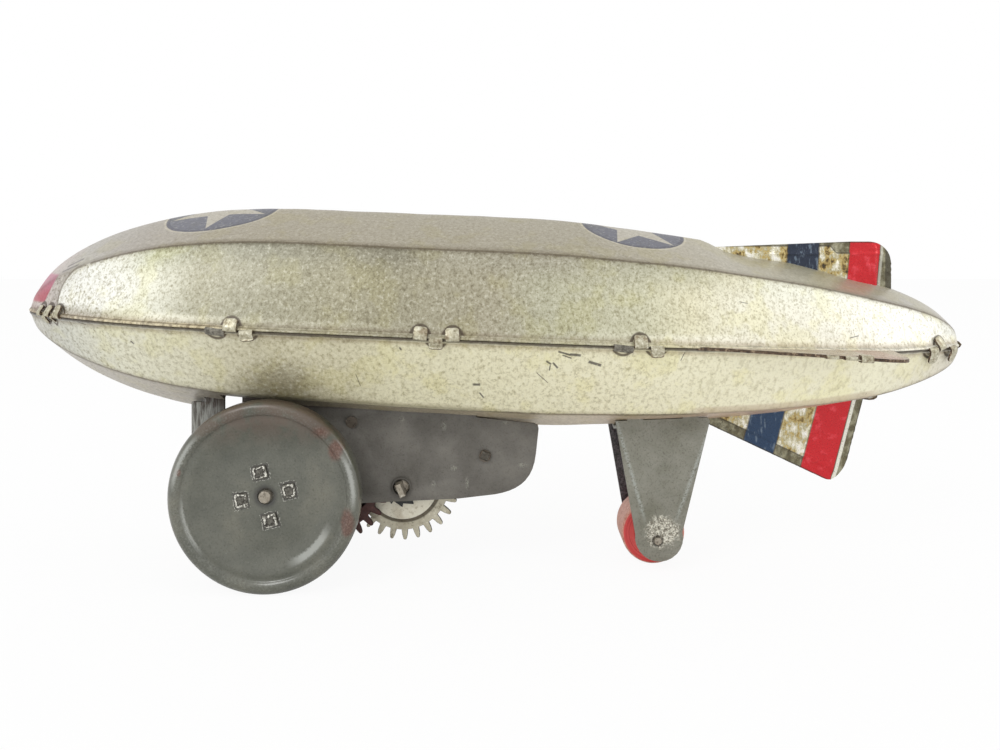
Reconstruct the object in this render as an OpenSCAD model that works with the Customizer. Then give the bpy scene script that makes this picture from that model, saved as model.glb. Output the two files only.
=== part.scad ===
// Toy airship that rolls on wheels. Two pressed tin hull halves are joined by bent tabs at a seam and
// carry four tin fins. A spring motor between two plates hangs through an opening in the hull's belly
// and drives the two front wheels. A roller in a bracket carries the tail.
// The nose points to -X, the near side of the motor is -Y, and the ground is Z = 0.

/* [Hull] */
// Length of the hull from nose tip to tail tip
hull_length = 251.7; // [240:0.1:265]
// Half width of the hull at its seam
seam_half = 28.5; // [27:0.1:31]
// Height of the ridge over the seam
ridge_rise = 30.3; // [28.5:0.1:34]
// Half width between the upper creases
upper_crease_half = 20.5; // [18:0.1:22]
// Height of the upper creases over the seam
upper_crease_rise = 21.1; // [19:0.1:22]
// Half width between the lower creases
lower_crease_half = 19; // [18:0.1:20]
// Depth of the lower creases under the seam near the nose
lower_crease_drop = 15.5; // [14:0.1:16.5]
// Depth of the keel under the seam
keel_drop = 26.1; // [24.5:0.1:27.5]
// Length over which the nose swells to full size
nose_taper = 75; // [65:1:85]
// Length over which the tail narrows from full size
tail_taper = 120; // [110:1:130]
// Thickness of the hull sheet
hull_wall = 0.45; // [0.35:0.05:0.6]
// Fall of the seam for each millimetre toward the tail
seam_slope = 0.0423; // [0.03:0.001:0.05]
// How far the upper half's rolled lip stands out
lip_out = 0.5; // [0.4:0.05:0.7]
// Height of the upper half's rolled lip
lip_high = 0.7; // [0.5:0.05:0.9]
// How far the lower half's bead stands out
bead_out = 0.25; // [0.15:0.05:0.35]
// Height of the lower half's bead
bead_high = 0.6; // [0.4:0.05:0.8]

/* [Seam tabs] */
// Width of a seam tab along the seam
tab_wide = 3.3; // [2.5:0.1:4]
// Height of a seam tab past the seam line
tab_high = 2.6; // [2:0.1:3.2]
// Spacing of the three tabs in a group
tab_step = 4; // [3.8:0.1:6]
// Distance from the nose tip to the middle of the front group of tabs
front_group_from_nose = 63.8; // [50:0.1:70]
// Distance from the nose tip to the middle of the next group of tabs
middle_group_from_nose = 112.2; // [90:0.1:120]
// Distance from the tail tip to the middle of the rear group of tabs
rear_group_from_tail = 91; // [88:0.1:100]
// How far the nose tab stands out past the nose tip
nose_tab_out = 0.7; // [0.6:0.1:1.2]
// How far the tail tab stands out past the tail tip
tail_tab_out = 0.8; // [0.7:0.1:1.4]

/* [Fins] */
// Thickness of a fin
fin_thick = 0.9; // [0.6:0.05:1.2]
// Half span over the side fins
side_fin_span = 33; // [31:0.1:36]
// Length of a side fin along the seam
side_fin_length = 53; // [45:1:58]
// Distance from the tail tip to the rear end of the side fins
side_fin_from_tail = 25.5; // [23:0.5:30]
// Distance from the tail tip to the rear edge of the top fin
top_fin_from_tail = 18; // [15:0.5:22]
// Length of the top fin along the ridge
top_fin_length = 48.8; // [42:0.5:52]
// Height of the top fin's edge over the ridge at the fin's rear end
top_fin_rise = 13.1; // [12:0.05:16]
// Distance from the tail tip to the rear end of the bottom fin's root
bottom_fin_from_tail = 25; // [22:0.5:30]
// Length of the bottom fin along the keel
bottom_fin_length = 43.3; // [38:0.5:48]
// How far the bottom fin hangs under the keel at its front end
bottom_fin_hang = 16.9; // [12:0.1:19]
// Depth of every fin's root inside the hull
fin_root = 2.2; // [1.5:0.1:3]

/* [Front wheels] */
// Outer radius of a front wheel
wheel_radius = 23.5; // [22:0.1:25]
// Distance from the middle to the outer face of a front wheel
wheel_face = 24; // [23:0.1:26]
// Depth of a front wheel's turned rim
wheel_depth = 4.5; // [3.6:0.1:4.8]
// Thickness of the wheel sheet
wheel_sheet = 0.6; // [0.4:0.05:0.8]
// Depth of the wheel's dished centre behind its face
dish_depth = 2.6; // [1.5:0.1:3]
// Outer radius of the dished wall
dish_outer = 18.6; // [17:0.1:19]
// Inner radius of the dished wall
dish_inner = 13.7; // [12:0.1:15]
// Radius of the front axle
axle_r = 1.5; // [1.2:0.05:1.6]
// Clear height between a wheel and the hull's crease
wheel_hull_gap = 0.5; // [0.3:0.1:2]
// Distance from the nose tip to the front axle
axle_from_nose = 69.9; // [66:0.1:74]
// Radius of the circle on which the hub's tabs are bent over
hub_tab_circle = 6.2; // [5:0.1:7.5]
// Width of a hub tab
hub_tab_wide = 3.5; // [2.5:0.1:4]
// Length of a hub tab's bent end
hub_tab_long = 2.2; // [1.6:0.1:2.6]
// Radius of the hub's disc behind the wheel
hub_disc_r = 9; // [8:0.1:11]
// Radius of the hub's sleeve on the axle
hub_sleeve_r = 2.8; // [2.4:0.1:3.5]

/* [Motor frame] */
// Distance from the middle to the outer face of a motor plate
plate_face = 10.8; // [10.4:0.1:11.6]
// Thickness of a motor plate
plate_thick = 0.8; // [0.6:0.05:0.9]
// Radius of a frame pillar
pillar_r = 1.6; // [1.3:0.1:2]
// Radius of a pillar's riveted end
pillar_end_r = 1; // [0.7:0.05:1.2]
// Length of the belly opening in the hull
opening_length = 64; // [60:1:66]
// Half width of the belly opening in the hull between the front wheels
opening_half = 15.5; // [14:0.1:18.2]
// Length of the wide part of the belly opening
opening_wide_length = 12.4; // [10:0.1:14]
// Half width of the belly opening before and behind the wide part
opening_motor_half = 11.4; // [11.2:0.1:13]
// Length of the belly opening before its wide part
opening_neck_length = 9; // [7:0.1:10]
// Width of a bent ear that holds a plate in the hull
ear_wide = 8; // [5:0.5:10]

/* [Gear train] */
// Gear module
gear_module = 1.05; // [1.03:0.01:1.08]
// Thickness of a gear wheel
gear_thick = 0.8; // [0.6:0.05:0.9]
// Radius of the winding arbor
arbor_r = 2; // [1.8:0.05:2.2]
// Radius of the second arbor
second_r = 1.3; // [1.1:0.05:1.4]
// Radius of the second arbor's pivots
pivot_r = 1; // [0.8:0.05:1.05]
// Radial running clearance of every shaft in its hole
running_gap = 0.06; // [0.03:0.01:0.09]
// Direction from the front axle to the second arbor, in degrees
second_angle = -7.2; // [-12:0.1:0]
// Direction from the second arbor to the winding arbor, in degrees
great_angle = 2.1; // [-4:0.1:8]
// Radius of the light disc on the great wheel
disc_r = 9.3; // [8.9:0.1:10]
// Tip radius of the ratchet wheel
ratchet_tip = 5.9; // [5.4:0.1:6.1]
// Depth of a ratchet tooth
ratchet_depth = 1; // [0.6:0.05:1.2]
// Thickness of the ratchet wheel and of the click
ratchet_thick = 0.6; // [0.5:0.02:0.64]
// How far the winding arbor stands out past the near plate
arbor_out = 2.7; // [2.4:0.1:4]
// Thickness of the flattened winding end
winding_flat = 1.6; // [1.2:0.1:2.4]

/* [Mainspring] */
// Turns of the mainspring
spring_turns = 8; // [6:1:8]
// Thickness of the mainspring's strip
spring_thick = 0.45; // [0.35:0.05:0.5]
// Radius of the innermost turn
spring_inner = 2.95; // [2.9:0.05:3.4]
// Radius of the outermost turn
spring_outer = 11.9; // [11.3:0.1:12]
// Width of the mainspring's strip
spring_wide = 13; // [9:0.5:13.4]

/* [Rear bracket and roller] */
// Radius of the rear roller
roller_radius = 8.4; // [7.6:0.1:9.6]
// Width of the rear roller
roller_wide = 10; // [8:0.1:13]
// Radius of the roller's axle
roller_axle_r = 0.95; // [0.8:0.05:1.2]
// Distance from the tail tip to the roller's axle
roller_from_tail = 83.6; // [80:0.1:90]
// Distance from the middle to the outer face of a bracket leg
bracket_face = 10.6; // [9.6:0.1:11.6]
// Thickness of the bracket sheet
bracket_thick = 0.8; // [0.6:0.05:1]
// Length of the bracket's top edge
bracket_top = 24.4; // [20:0.1:28]
// Radius of the leg's round end
leg_end_r = 6.2; // [4.5:0.1:6.8]

/* [Hidden] */
$fn = 64;

// Places along the toy
nose_x = nose_tab_out - (hull_length + nose_tab_out + tail_tab_out) / 2;
tail_x = nose_x + hull_length;
axle_x = nose_x + axle_from_nose;
axle_z = wheel_radius;
roller_x = tail_x - roller_from_tail;
opening_front = axle_x - 12.6;
opening_rear = opening_front + opening_length;

// The hull stands just clear of the front wheels
lower_crease_run = 0.024;
tail_power = 1.6;
nose_power = 2.1;
keel_nose_taper = nose_taper - 10;
axle_crease_drop = keel_share(axle_from_nose) * (lower_crease_drop + lower_crease_run * axle_from_nose);
seam_mid_z = 2 * wheel_radius + wheel_hull_gap + axle_crease_drop + seam_slope * axle_x;
stations = 30;

// Motor places across the toy, from the near plate inward
plate_inner = plate_face - plate_thick;
side_gap = 0.2;
second_wheel_y = -plate_inner + 0.5;
pinion_y = second_wheel_y + gear_thick;
ratchet_y = second_wheel_y + gear_thick + 0.3;
disc_y = ratchet_y + ratchet_thick + side_gap;
disc_thick = 0.5;
great_y = disc_y + disc_thick;
pinion_end_y = great_y + gear_thick + 0.4;
spring_y = pinion_end_y + 0.4;

// Gears
great_teeth = 26;
second_teeth = 23;
pinion_leaves = 6;
pinion_root_r = 1.6;
pinion_tip_r = 4;
great_distance = gear_module * (great_teeth + pinion_leaves) / 2;
second_distance = gear_module * (second_teeth + pinion_leaves) / 2;
second_x = axle_x + second_distance * cos(second_angle);
second_z = axle_z + second_distance * sin(second_angle);
great_x = second_x + great_distance * cos(great_angle);
great_z = second_z + great_distance * sin(great_angle);

// Pillars, placed from the winding arbor
rear_pillar = [great_x + 21.6, great_z + 8.3];
front_pillar = [axle_x - 12.5, axle_z + 5];
top_pillar = [second_x + 4, second_z + 17.6];

// Click, placed on the disc
click_angle = 95;
click_radius = 7.5;
click_pivot = [great_x + click_radius * cos(click_angle), great_z + click_radius * sin(click_angle)];
click_pin_r = 0.6;
click_tip_gap = 0.15;

// Wheel places across the toy
dish_face = wheel_face - dish_depth;
hub_back = dish_face - wheel_sheet;

// Hull sections

// Share of the full section at a distance from the nose tip, for a given nose and for how full each end is
function swell(u, taper, nose_full, tail_full) =
    let (front = 1 - min(1, u / taper), rear = 1 - min(1, (hull_length - u) / tail_taper))
    pow(1 - pow(front, nose_power), nose_full) * pow(1 - pow(rear, tail_power), tail_full);

// Shares of the seam's width, of the ridge's and the upper creases' rise, and of the keel's depth
function size_share(u) = swell(u, nose_taper, 0.6, 0.5);
function rise_share(u) = swell(u, nose_taper, 0.56, 0.48);
function crease_share(u) = swell(u, nose_taper, 0.7, 0.48);
function keel_share(u) = swell(u, keel_nose_taper, 0.62, 0.5);

function seam_z(x) = seam_mid_z - seam_slope * x;
function ridge_z(x) = seam_z(x) + ridge_rise * rise_share(x - nose_x);
function keel_z(x) = seam_z(x) - keel_drop * keel_share(x - nose_x);
function seam_y(x) = seam_half * size_share(x - nose_x);
function between(p, q, t) = p * (1 - t) + q * t;

// Height of the lower half's belly panel at a place and a half width
function belly_z(x, y) =
    let (u = x - nose_x, crease = lower_crease_drop + lower_crease_run * u)
    seam_z(x) - keel_share(u) * (keel_drop
        - (keel_drop - crease) * abs(y) / (lower_crease_half * size_share(u)));

// Half sections from the seam to the middle, as [half width, height from the seam]
function upper_half(u) =
    let (s = size_share(u), r = rise_share(u), edge = [seam_half * s, 0],
        crease = [upper_crease_half * s, upper_crease_rise * crease_share(u)],
        ridge = [0, ridge_rise * r])
    [[edge[0] + lip_out, 0], [edge[0] + lip_out, lip_high], [edge[0] - 0.2, lip_high + 0.4],
        between(edge, crease, 0.55) + [0.5, 0.3] * s, between(edge, crease, 0.94),
        between(crease, ridge, 0.06), between(crease, ridge, 0.5) + [0, 0.4] * s,
        between(crease, ridge, 0.86) + [0, 0.1] * s, ridge];

function lower_half(u) =
    let (s = size_share(u), r = keel_share(u), edge = [seam_half * s, 0],
        crease = [lower_crease_half * s, -(lower_crease_drop + lower_crease_run * u) * r],
        keel = [0, -keel_drop * r])
    [[edge[0] + bead_out, 0], [edge[0] + bead_out, -bead_high], [edge[0] - 0.2, -bead_high - 0.3],
        between(edge, crease, 0.55) + [0.5, -0.3] * s, between(edge, crease, 0.94),
        between(crease, keel, 0.06), keel];

// Inner skins, one sheet inside the outer ones
function upper_inside(u) =
    let (s = size_share(u))
    [[seam_half * s - hull_wall, 0],
        [upper_crease_half * s - hull_wall, upper_crease_rise * crease_share(u) - hull_wall],
        [0, ridge_rise * rise_share(u) - hull_wall]];

function lower_inside(u) =
    let (s = size_share(u), r = keel_share(u))
    [[seam_half * s - hull_wall, 0],
        [lower_crease_half * s - hull_wall, hull_wall - (lower_crease_drop + lower_crease_run * u) * r],
        [0, hull_wall - keel_drop * r]];

// A whole section from one seam edge to the other, side +1 starting at +Y
function both_halves(half, side) =
    concat([for (p = half) [side * p[0], p[1]]],
        [for (k = [len(half) - 2 : -1 : 0]) [-side * half[k][0], half[k][1]]]);

function station_u(i) = hull_length * (1 - cos(180 * i / stations)) / 2;

function ring(section, x) = [for (p = section) [x, p[0], seam_z(x) + p[1]]];

function outer_rings(upper) = [for (i = [1 : stations - 1])
    let (u = station_u(i))
    ring(upper ? both_halves(upper_half(u), 1) : both_halves(lower_half(u), -1), nose_x + u)];

function inner_rings(upper) = [for (i = [1 : stations - 1])
    let (u = station_u(i), x = nose_x + hull_wall + u * (1 - 2 * hull_wall / hull_length))
    ring(upper ? both_halves(upper_inside(u), 1) : both_halves(lower_inside(u), -1), x)];

function flat_list(rows) = [for (row = rows) for (p = row) p];

// Triangles of one skin whose first point has the index base, turned over for the inner skin
function skin_faces(base, rows, across, turned) =
    let (last = base + 1 + rows * across,
        faces = concat(
            [for (k = [0 : across - 2]) [base, base + 1 + k, base + 2 + k]],
            [for (i = [0 : rows - 2]) for (k = [0 : across - 2])
                let (a = base + 1 + i * across + k) [a, a + across, a + 1]],
            [for (i = [0 : rows - 2]) for (k = [0 : across - 2])
                let (a = base + 1 + i * across + k) [a + across, a + across + 1, a + 1]],
            [for (k = [0 : across - 2])
                let (a = base + 1 + (rows - 1) * across + k) [a, last, a + 1]]))
    turned ? [for (f = faces) [f[2], f[1], f[0]]] : faces;

// Point numbers along one edge of a skin, from nose tip to tail tip
function edge_points(base, rows, across, k) =
    concat([base], [for (i = [0 : rows - 1]) base + 1 + i * across + k], [base + 1 + rows * across]);

// Flat strips that join two edges in the seam plane
function strip_faces(first, second) =
    [for (i = [0 : len(first) - 2]) [first[i + 1], first[i], second[i], second[i + 1]]];

module hull_shell(upper) {
    outside = outer_rings(upper);
    inside = inner_rings(upper);
    rows = stations - 1;
    outer_across = len(outside[0]);
    inner_across = len(inside[0]);
    lip = upper ? lip_out : bead_out;
    nose = [nose_x - lip, 0, seam_z(nose_x - lip)];
    tail = [tail_x + lip, 0, seam_z(tail_x + lip)];
    nose_inside = [nose_x + hull_wall, 0, seam_z(nose_x + hull_wall)];
    tail_inside = [tail_x - hull_wall, 0, seam_z(tail_x - hull_wall)];
    inner_base = 2 + rows * outer_across;
    polyhedron(
        points = concat([nose], flat_list(outside), [tail], [nose_inside], flat_list(inside), [tail_inside]),
        faces = concat(
            skin_faces(0, rows, outer_across, false),
            skin_faces(inner_base, rows, inner_across, true),
            strip_faces(edge_points(0, rows, outer_across, 0), edge_points(inner_base, rows, inner_across, 0)),
            strip_faces(edge_points(inner_base, rows, inner_across, inner_across - 1),
                edge_points(0, rows, outer_across, outer_across - 1))));
}

// Helpers

// Extrudes a shape drawn in X and Z from y0 to y1
module across(y0, y1) {
    translate([0, y1, 0]) rotate([90, 0, 0]) linear_extrude(y1 - y0) children();
}

// A round bar along Y
module bar(x, z, r, y0, y1) {
    translate([x, y1, z]) rotate([90, 0, 0]) cylinder(h = y1 - y0, r = r);
}

// Mirrors a near-side shape to the far side
module far_side() {
    mirror([0, 1, 0]) children();
}

// Seam tabs

tab_thick = 0.45;

// A tab at x on one side of the hull: the upper half's tabs point down, the lower half's point up
module seam_tab(x, side, upper) {
    slope = (seam_y(x + 1) - seam_y(x - 1)) / 2;
    own = upper ? bead_out : lip_out;
    reach = upper ? -1 : 1;
    translate([x, side * seam_y(x), seam_z(x)]) rotate([0, atan(seam_slope), side * atan(slope)])
        scale([1, side, reach]) {
            translate([-tab_wide / 2, own + 0.02, -lip_high / 2])
                cube([tab_wide, tab_thick, tab_high + lip_high / 2]);
            translate([-tab_wide / 2, 0, -lip_high / 2 - 0.2]) cube([tab_wide, own + 0.1, lip_high / 2]);
        }
}

// The tab that is bent over a tip of the hull
module tip_tab(x, out, toward) {
    wide = tab_wide * 0.75;
    translate([x + min(0, toward * out), -wide / 2, seam_z(x) - tab_high / 2]) cube([out, wide, tab_high]);
}

// Places of the middle tabs of the three groups, and which half they belong to
front_group_x = nose_x + front_group_from_nose;
middle_group_x = nose_x + middle_group_from_nose;
rear_group_x = tail_x - rear_group_from_tail;
tab_groups = [[front_group_x, false], [middle_group_x, true], [rear_group_x, false]];

// Tabs of one hull half
module seam_tabs(upper) {
    for (group = tab_groups) for (side = [-1, 1]) for (k = [-1 : 1])
        if ((k == 0) == (group[1] == upper))
            seam_tab(group[0] + k * tab_step, side, upper);
}

// Hull halves

module hull_upper() color([0.8, 0.78, 0.64]) {
    difference() {
        union() {
            hull_shell(true);
            seam_tabs(true);
        }
        fin_top();
        side_fin_blank();
        far_side() side_fin_blank();
        tip_tab(tail_x, tail_tab_out, 1);
    }
    tip_tab(nose_x, nose_tab_out, -1);
}

module hull_lower() color([0.76, 0.74, 0.6]) {
    difference() {
        union() {
            hull_shell(false);
            seam_tabs(false);
        }
        fin_bottom();
        side_fin_blank();
        far_side() side_fin_blank();
        tip_tab(nose_x, nose_tab_out, -1);
        belly_opening();
        bracket_tabs(0.05);
    }
    tip_tab(tail_x, tail_tab_out, 1);
}

// The motor goes through the belly. The cut is as wide as the motor, and wider between the front wheels
module belly_opening() {
    cuts = [[opening_front - opening_neck_length, opening_rear, opening_motor_half],
        [opening_front - 0.8, opening_front - 0.8 + opening_wide_length, opening_half]];
    for (cut = cuts)
        translate([cut[0], -cut[2], keel_z(0) - 10])
            cube([cut[1] - cut[0], 2 * cut[2], keel_drop]);
}

// Fins

// Fin edges are drawn in X and Z, with a root inside the hull that follows the ridge or the keel
fin_steps = 8;

top_fin_top = ridge_z(tail_x - top_fin_from_tail) + top_fin_rise;

module fin_top() color([0.8, 0.76, 0.55]) {
    front = tail_x - top_fin_from_tail - top_fin_length;
    rear = tail_x - top_fin_from_tail;
    corner = 6;
    root = [for (i = [fin_steps : -1 : 0])
        let (x = front + 1.5 + (top_fin_length - 1.8) * i / fin_steps) [x, ridge_z(x) - fin_root]];
    round_corner = [for (a = [90 : -15 : 0])
        [rear - corner + corner * cos(a), top_fin_top - corner + corner * sin(a)]];
    across(-fin_thick / 2, fin_thick / 2)
        polygon(concat([[front, top_fin_top - 1.5], [rear - corner - 5, top_fin_top]], round_corner,
            [[rear - 0.3, ridge_z(rear)]], root));
}

module fin_bottom() color([0.8, 0.76, 0.55]) {
    rear = tail_x - bottom_fin_from_tail;
    front = rear - bottom_fin_length;
    tip_r = 4;
    low = keel_z(front) - bottom_fin_hang;
    root = [for (i = [0 : fin_steps])
        let (x = front + 1.5 + (bottom_fin_length - 1.5) * i / fin_steps) [x, keel_z(x) + fin_root]];
    tip_x = rear - 9.6;
    round_tip = [for (a = [-12 : -15 : -117])
        [tip_x + tip_r * cos(a), low + tip_r + tip_r * sin(a)]];
    across(-fin_thick / 2, fin_thick / 2)
        polygon(concat([[front, keel_z(front) - 1]], root, [[rear + 2.8, keel_z(rear) + 0.4],
            [rear + 2.8, keel_z(rear) - 0.6], [rear - 0.2, keel_z(rear) - 1.6]], round_tip));
}

// Plan of a side fin, with its tip corner rounded
module side_fin_plan() {
    rear = tail_x - side_fin_from_tail;
    front = rear - side_fin_length;
    tip_r = 4;
    root = [for (i = [0 : fin_steps])
        let (x = front + 2 + (side_fin_length - 2) * i / fin_steps) [x, seam_y(x) - fin_root]];
    round_tip = [for (a = [8 : 15 : 98])
        [rear - 3.2 - tip_r + tip_r * cos(a), side_fin_span - tip_r + tip_r * sin(a)]];
    polygon(concat([[front, seam_y(front)]], root, [[rear, seam_y(rear)]], round_tip));
}

// The near side fin lies in the seam plane
module side_fin_blank() {
    translate([0, 0, seam_mid_z]) rotate([0, atan(seam_slope), 0]) mirror([0, 1, 0])
        translate([0, 0, -fin_thick / 2]) linear_extrude(fin_thick) side_fin_plan();
}

module fin_near() color([0.8, 0.76, 0.55]) side_fin_blank();

module fin_far() color([0.8, 0.76, 0.55]) far_side() side_fin_blank();

// Motor frame

// Height just over the belly opening's edge inside the hull, where a plate's ears rest
ear_gap = 0.45;
function ear_z(x) = belly_z(x, opening_half) + hull_wall + ear_gap;

// Outline of the part of a plate that hangs under the hull, and of its top inside the hull. A prong in
// front of the notch reaches up through the belly opening
plate_low_front = axle_z - 5.3;
plate_rise = 20.8;
prong_rise = 22.7;
plate_reach = 36;
plate_front_end = opening_front - 1;

// The notch at a plate's front top, which shows the background
notch_back = opening_front + 3.4;
notch_wide = 4.6;
near_notch_low = axle_z + plate_rise - 4.1;
far_notch_low = axle_z + plate_rise - 6.3;
notch_tall = hull_length / 12;

// Guide points of the curve round a plate's lower rear corner, from the great wheel's axle
plate_curve = [[22.1, -2], [29.5, -1.2], [34, 1.2], [34.8, 8.8]];
plate_curve_steps = 10;

// A point of a curve with four guide points, at a share t of its way
function on_curve(p, t) =
    pow(1 - t, 3) * p[0] + 3 * t * pow(1 - t, 2) * p[1] + 3 * t * t * (1 - t) * p[2] + pow(t, 3) * p[3];

module plate_outline(front_x) {
    rear_x = great_x + plate_reach;
    top_rear = opening_rear - 0.3;
    lower_corner = [for (i = [0 : plate_curve_steps])
        [great_x, great_z] + on_curve(plate_curve, i / plate_curve_steps)];
    polygon(concat([[front_x, plate_low_front], [great_x - 10.5, plate_low_front], [great_x + 14.9, great_z - 2.8]],
        lower_corner,
        [[rear_x - 0.5, great_z + 15.3], [rear_x - 0.7, great_z + 16.1], [rear_x - 1.7, great_z + 16.6],
        [top_rear + 1, belly_z(top_rear, plate_face) - 0.5], [top_rear, belly_z(top_rear, plate_face) - 0.2],
        [top_rear, ear_z(top_rear) + plate_thick], [notch_back, ear_z(notch_back) + plate_thick],
        [notch_back, axle_z + prong_rise], [front_x, axle_z + prong_rise]]));
}

// Shaft holes and pillar holes of a plate
module plate_holes() {
    translate([axle_x, axle_z]) circle(r = axle_r + running_gap);
    translate([second_x, second_z]) circle(r = pivot_r + running_gap);
    translate([great_x, great_z]) circle(r = arbor_r + running_gap);
    for (p = [rear_pillar, front_pillar, top_pillar])
        translate(p) circle(r = pillar_end_r);
}

// Ears bent outward at the top of a plate, resting inside the hull on the belly opening's edges
ear_places = [opening_front + 9, opening_rear - 12];

module plate_ears() {
    for (x = ear_places)
        translate([x - ear_wide / 2, -opening_half - 0.6, ear_z(x - ear_wide / 2)])
            cube([ear_wide, opening_half + 0.6 - plate_inner, plate_thick]);
}

// The near plate is bent inward at its front end, with its top cut to clear the belly
bend_r = 5.6;
bend_x = axle_x - 18.5;

module front_bend() {
    low = [-plate_face - 1, belly_z(bend_x, plate_face + 1) - 0.3];
    difference() {
        translate([0, 0, plate_low_front]) linear_extrude(axle_z + plate_rise - plate_low_front)
            bend_plan();
        translate([bend_x + 1, 0, 0]) rotate([90, 0, -90]) linear_extrude(2 * bend_r)
            polygon([[-low[0], low[1]], [0, belly_z(bend_x, 0) - 0.3], [0, low[1] + 10], [-low[0], low[1] + 10]]);
    }
}

// Plan of the bend: a quarter turn and a short flange
module bend_plan() {
    difference() {
        union() {
            translate([bend_x, -plate_face + bend_r]) circle(r = bend_r);
            translate([bend_x - bend_r, -plate_face + bend_r]) square([plate_thick, 2]);
        }
        translate([bend_x, -plate_face + bend_r]) circle(r = bend_r - plate_thick);
        translate([bend_x, -plate_face - 1]) square([2 * bend_r, 3 * bend_r]);
        translate([bend_x - bend_r + plate_thick, -plate_face + bend_r]) square([2 * bend_r, 2 * bend_r]);
    }
}

module plate_near() color([0.4, 0.38, 0.35]) {
    across(-plate_face, -plate_inner) difference() {
        plate_outline(bend_x);
        plate_holes();
        translate([notch_back - notch_wide, near_notch_low]) square([notch_wide, notch_tall]);
    }
    front_bend();
    plate_ears();
}

module plate_far() color([0.4, 0.38, 0.35]) far_side() {
    across(-plate_face, -plate_inner) difference() {
        plate_outline(plate_front_end);
        plate_holes();
        translate([notch_back - notch_wide - 0.8, far_notch_low]) square([notch_wide + 0.8, notch_tall]);
    }
    plate_ears();
}

// A pillar with shouldered ends that are riveted over outside the plates
module pillar(p) {
    bar(p[0], p[1], pillar_r, -plate_inner, plate_inner);
    bar(p[0], p[1], pillar_end_r, -plate_face - 0.5, plate_face + 0.5);
    bar(p[0], p[1], pillar_end_r + 0.5, -plate_face - 0.5, -plate_face);
    bar(p[0], p[1], pillar_end_r + 0.5, plate_face, plate_face + 0.5);
}

module pillar_rear() color([0.35, 0.33, 0.3]) pillar(rear_pillar);

module pillar_front() color([0.35, 0.33, 0.3]) pillar(front_pillar);

module pillar_top() color([0.35, 0.33, 0.3]) pillar(top_pillar);

// Mainspring: one strip that winds out from the arbor, runs straight to the rear pillar and hooks on it
spring_step = 15;
hook_gap = 0.1;
hook_r = pillar_r + hook_gap + spring_thick / 2;
pillar_away = norm(rear_pillar - [great_x, great_z]);
pillar_turn = atan2(rear_pillar[1] - great_z, rear_pillar[0] - great_x);
leave_angle = pillar_turn - acos((spring_outer + hook_r) / pillar_away);
spring_pitch = (spring_outer - spring_inner) / spring_turns;

function spring_path() =
    concat([for (a = [-360 * spring_turns : spring_step : 0])
            (spring_outer + spring_pitch * a / 360) * [cos(a + leave_angle), sin(a + leave_angle)]],
        [for (a = [180 : -spring_step : -30])
            rear_pillar - [great_x, great_z] + hook_r * [cos(a + leave_angle), sin(a + leave_angle)]]);

// Unit normal of a path at a point
function path_normal(path, i) =
    let (a = path[max(0, i - 1)], b = path[min(len(path) - 1, i + 1)], d = (b - a) / norm(b - a))
    [-d[1], d[0]];

spring_line = spring_path();
spring_coil = [for (i = [0 : 360 * spring_turns / spring_step]) spring_line[i]];
turn_points = 360 / spring_step;
spring_gap = min([for (i = [0 : len(spring_coil) - turn_points - 1])
    norm(spring_coil[i + turn_points] - spring_coil[i])]) - spring_thick;
echo(least_gap_between_spring_turns = spring_gap);

module mainspring() color([0.3, 0.3, 0.33]) {
    left = [for (i = [0 : len(spring_line) - 1])
        spring_line[i] + path_normal(spring_line, i) * spring_thick / 2];
    right = [for (i = [len(spring_line) - 1 : -1 : 0])
        spring_line[i] - path_normal(spring_line, i) * spring_thick / 2];
    translate([great_x, 0, great_z]) across(spring_y, spring_y + spring_wide)
        polygon(concat(left, right));
}

// Gears

// A toothed disc with slim rounded teeth, one tooth pointing along +X
module toothed_disc(teeth, root_r, tip_r, base_w, tip_w) {
    mid_r = root_r + (tip_r - root_r) * 0.55;
    mid_w = base_w * 0.45 + tip_w * 0.55 + 0.12;
    chamfer = 0.22;
    circle(r = root_r);
    for (i = [0 : teeth - 1])
        rotate(360 * i / teeth)
            polygon([[root_r - 0.3, -base_w / 2], [mid_r, -mid_w / 2], [tip_r - 0.25, -tip_w / 2],
                [tip_r, chamfer - tip_w / 2], [tip_r, tip_w / 2 - chamfer], [tip_r - 0.25, tip_w / 2],
                [mid_r, mid_w / 2], [root_r - 0.3, base_w / 2]]);
}

// Working radii of a wheel with these teeth
function pitch_r(teeth) = gear_module * teeth / 2;
tooth_out = 1.2;
tooth_in = 1.45;
tooth_base = 1.7;
tooth_tip = 0.85;

module wheel_gear(teeth) {
    toothed_disc(teeth, pitch_r(teeth) - tooth_in, pitch_r(teeth) + tooth_out, tooth_base, tooth_tip);
}

// A pinion of thin leaves, one leaf pointing along +X
module pinion_gear() {
    circle(r = pinion_root_r);
    for (i = [0 : pinion_leaves - 1])
        rotate(360 * i / pinion_leaves)
            polygon([[0, -0.4], [pinion_root_r, -0.4], [2.9, -0.45], [pinion_tip_r - 0.35, -0.35],
                [pinion_tip_r, -0.1], [pinion_tip_r, 0.1], [pinion_tip_r - 0.35, 0.35], [2.9, 0.45],
                [pinion_root_r, 0.4], [0, 0.4]]);
}

half_leaf = 180 / pinion_leaves;

module axle_pinion() color([0.72, 0.6, 0.35])
    translate([axle_x, 0, axle_z]) across(-plate_inner + 0.2, pinion_y + 0.5) difference() {
        rotate(second_angle + half_leaf) pinion_gear();
        circle(r = axle_r);
    }

module second_arbor() color([0.55, 0.55, 0.55]) {
    bar(second_x, second_z, pivot_r, -plate_face - 0.3, plate_face + 0.3);
    bar(second_x, second_z, second_r, -plate_inner + 0.15, plate_inner - 0.15);
}

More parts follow.
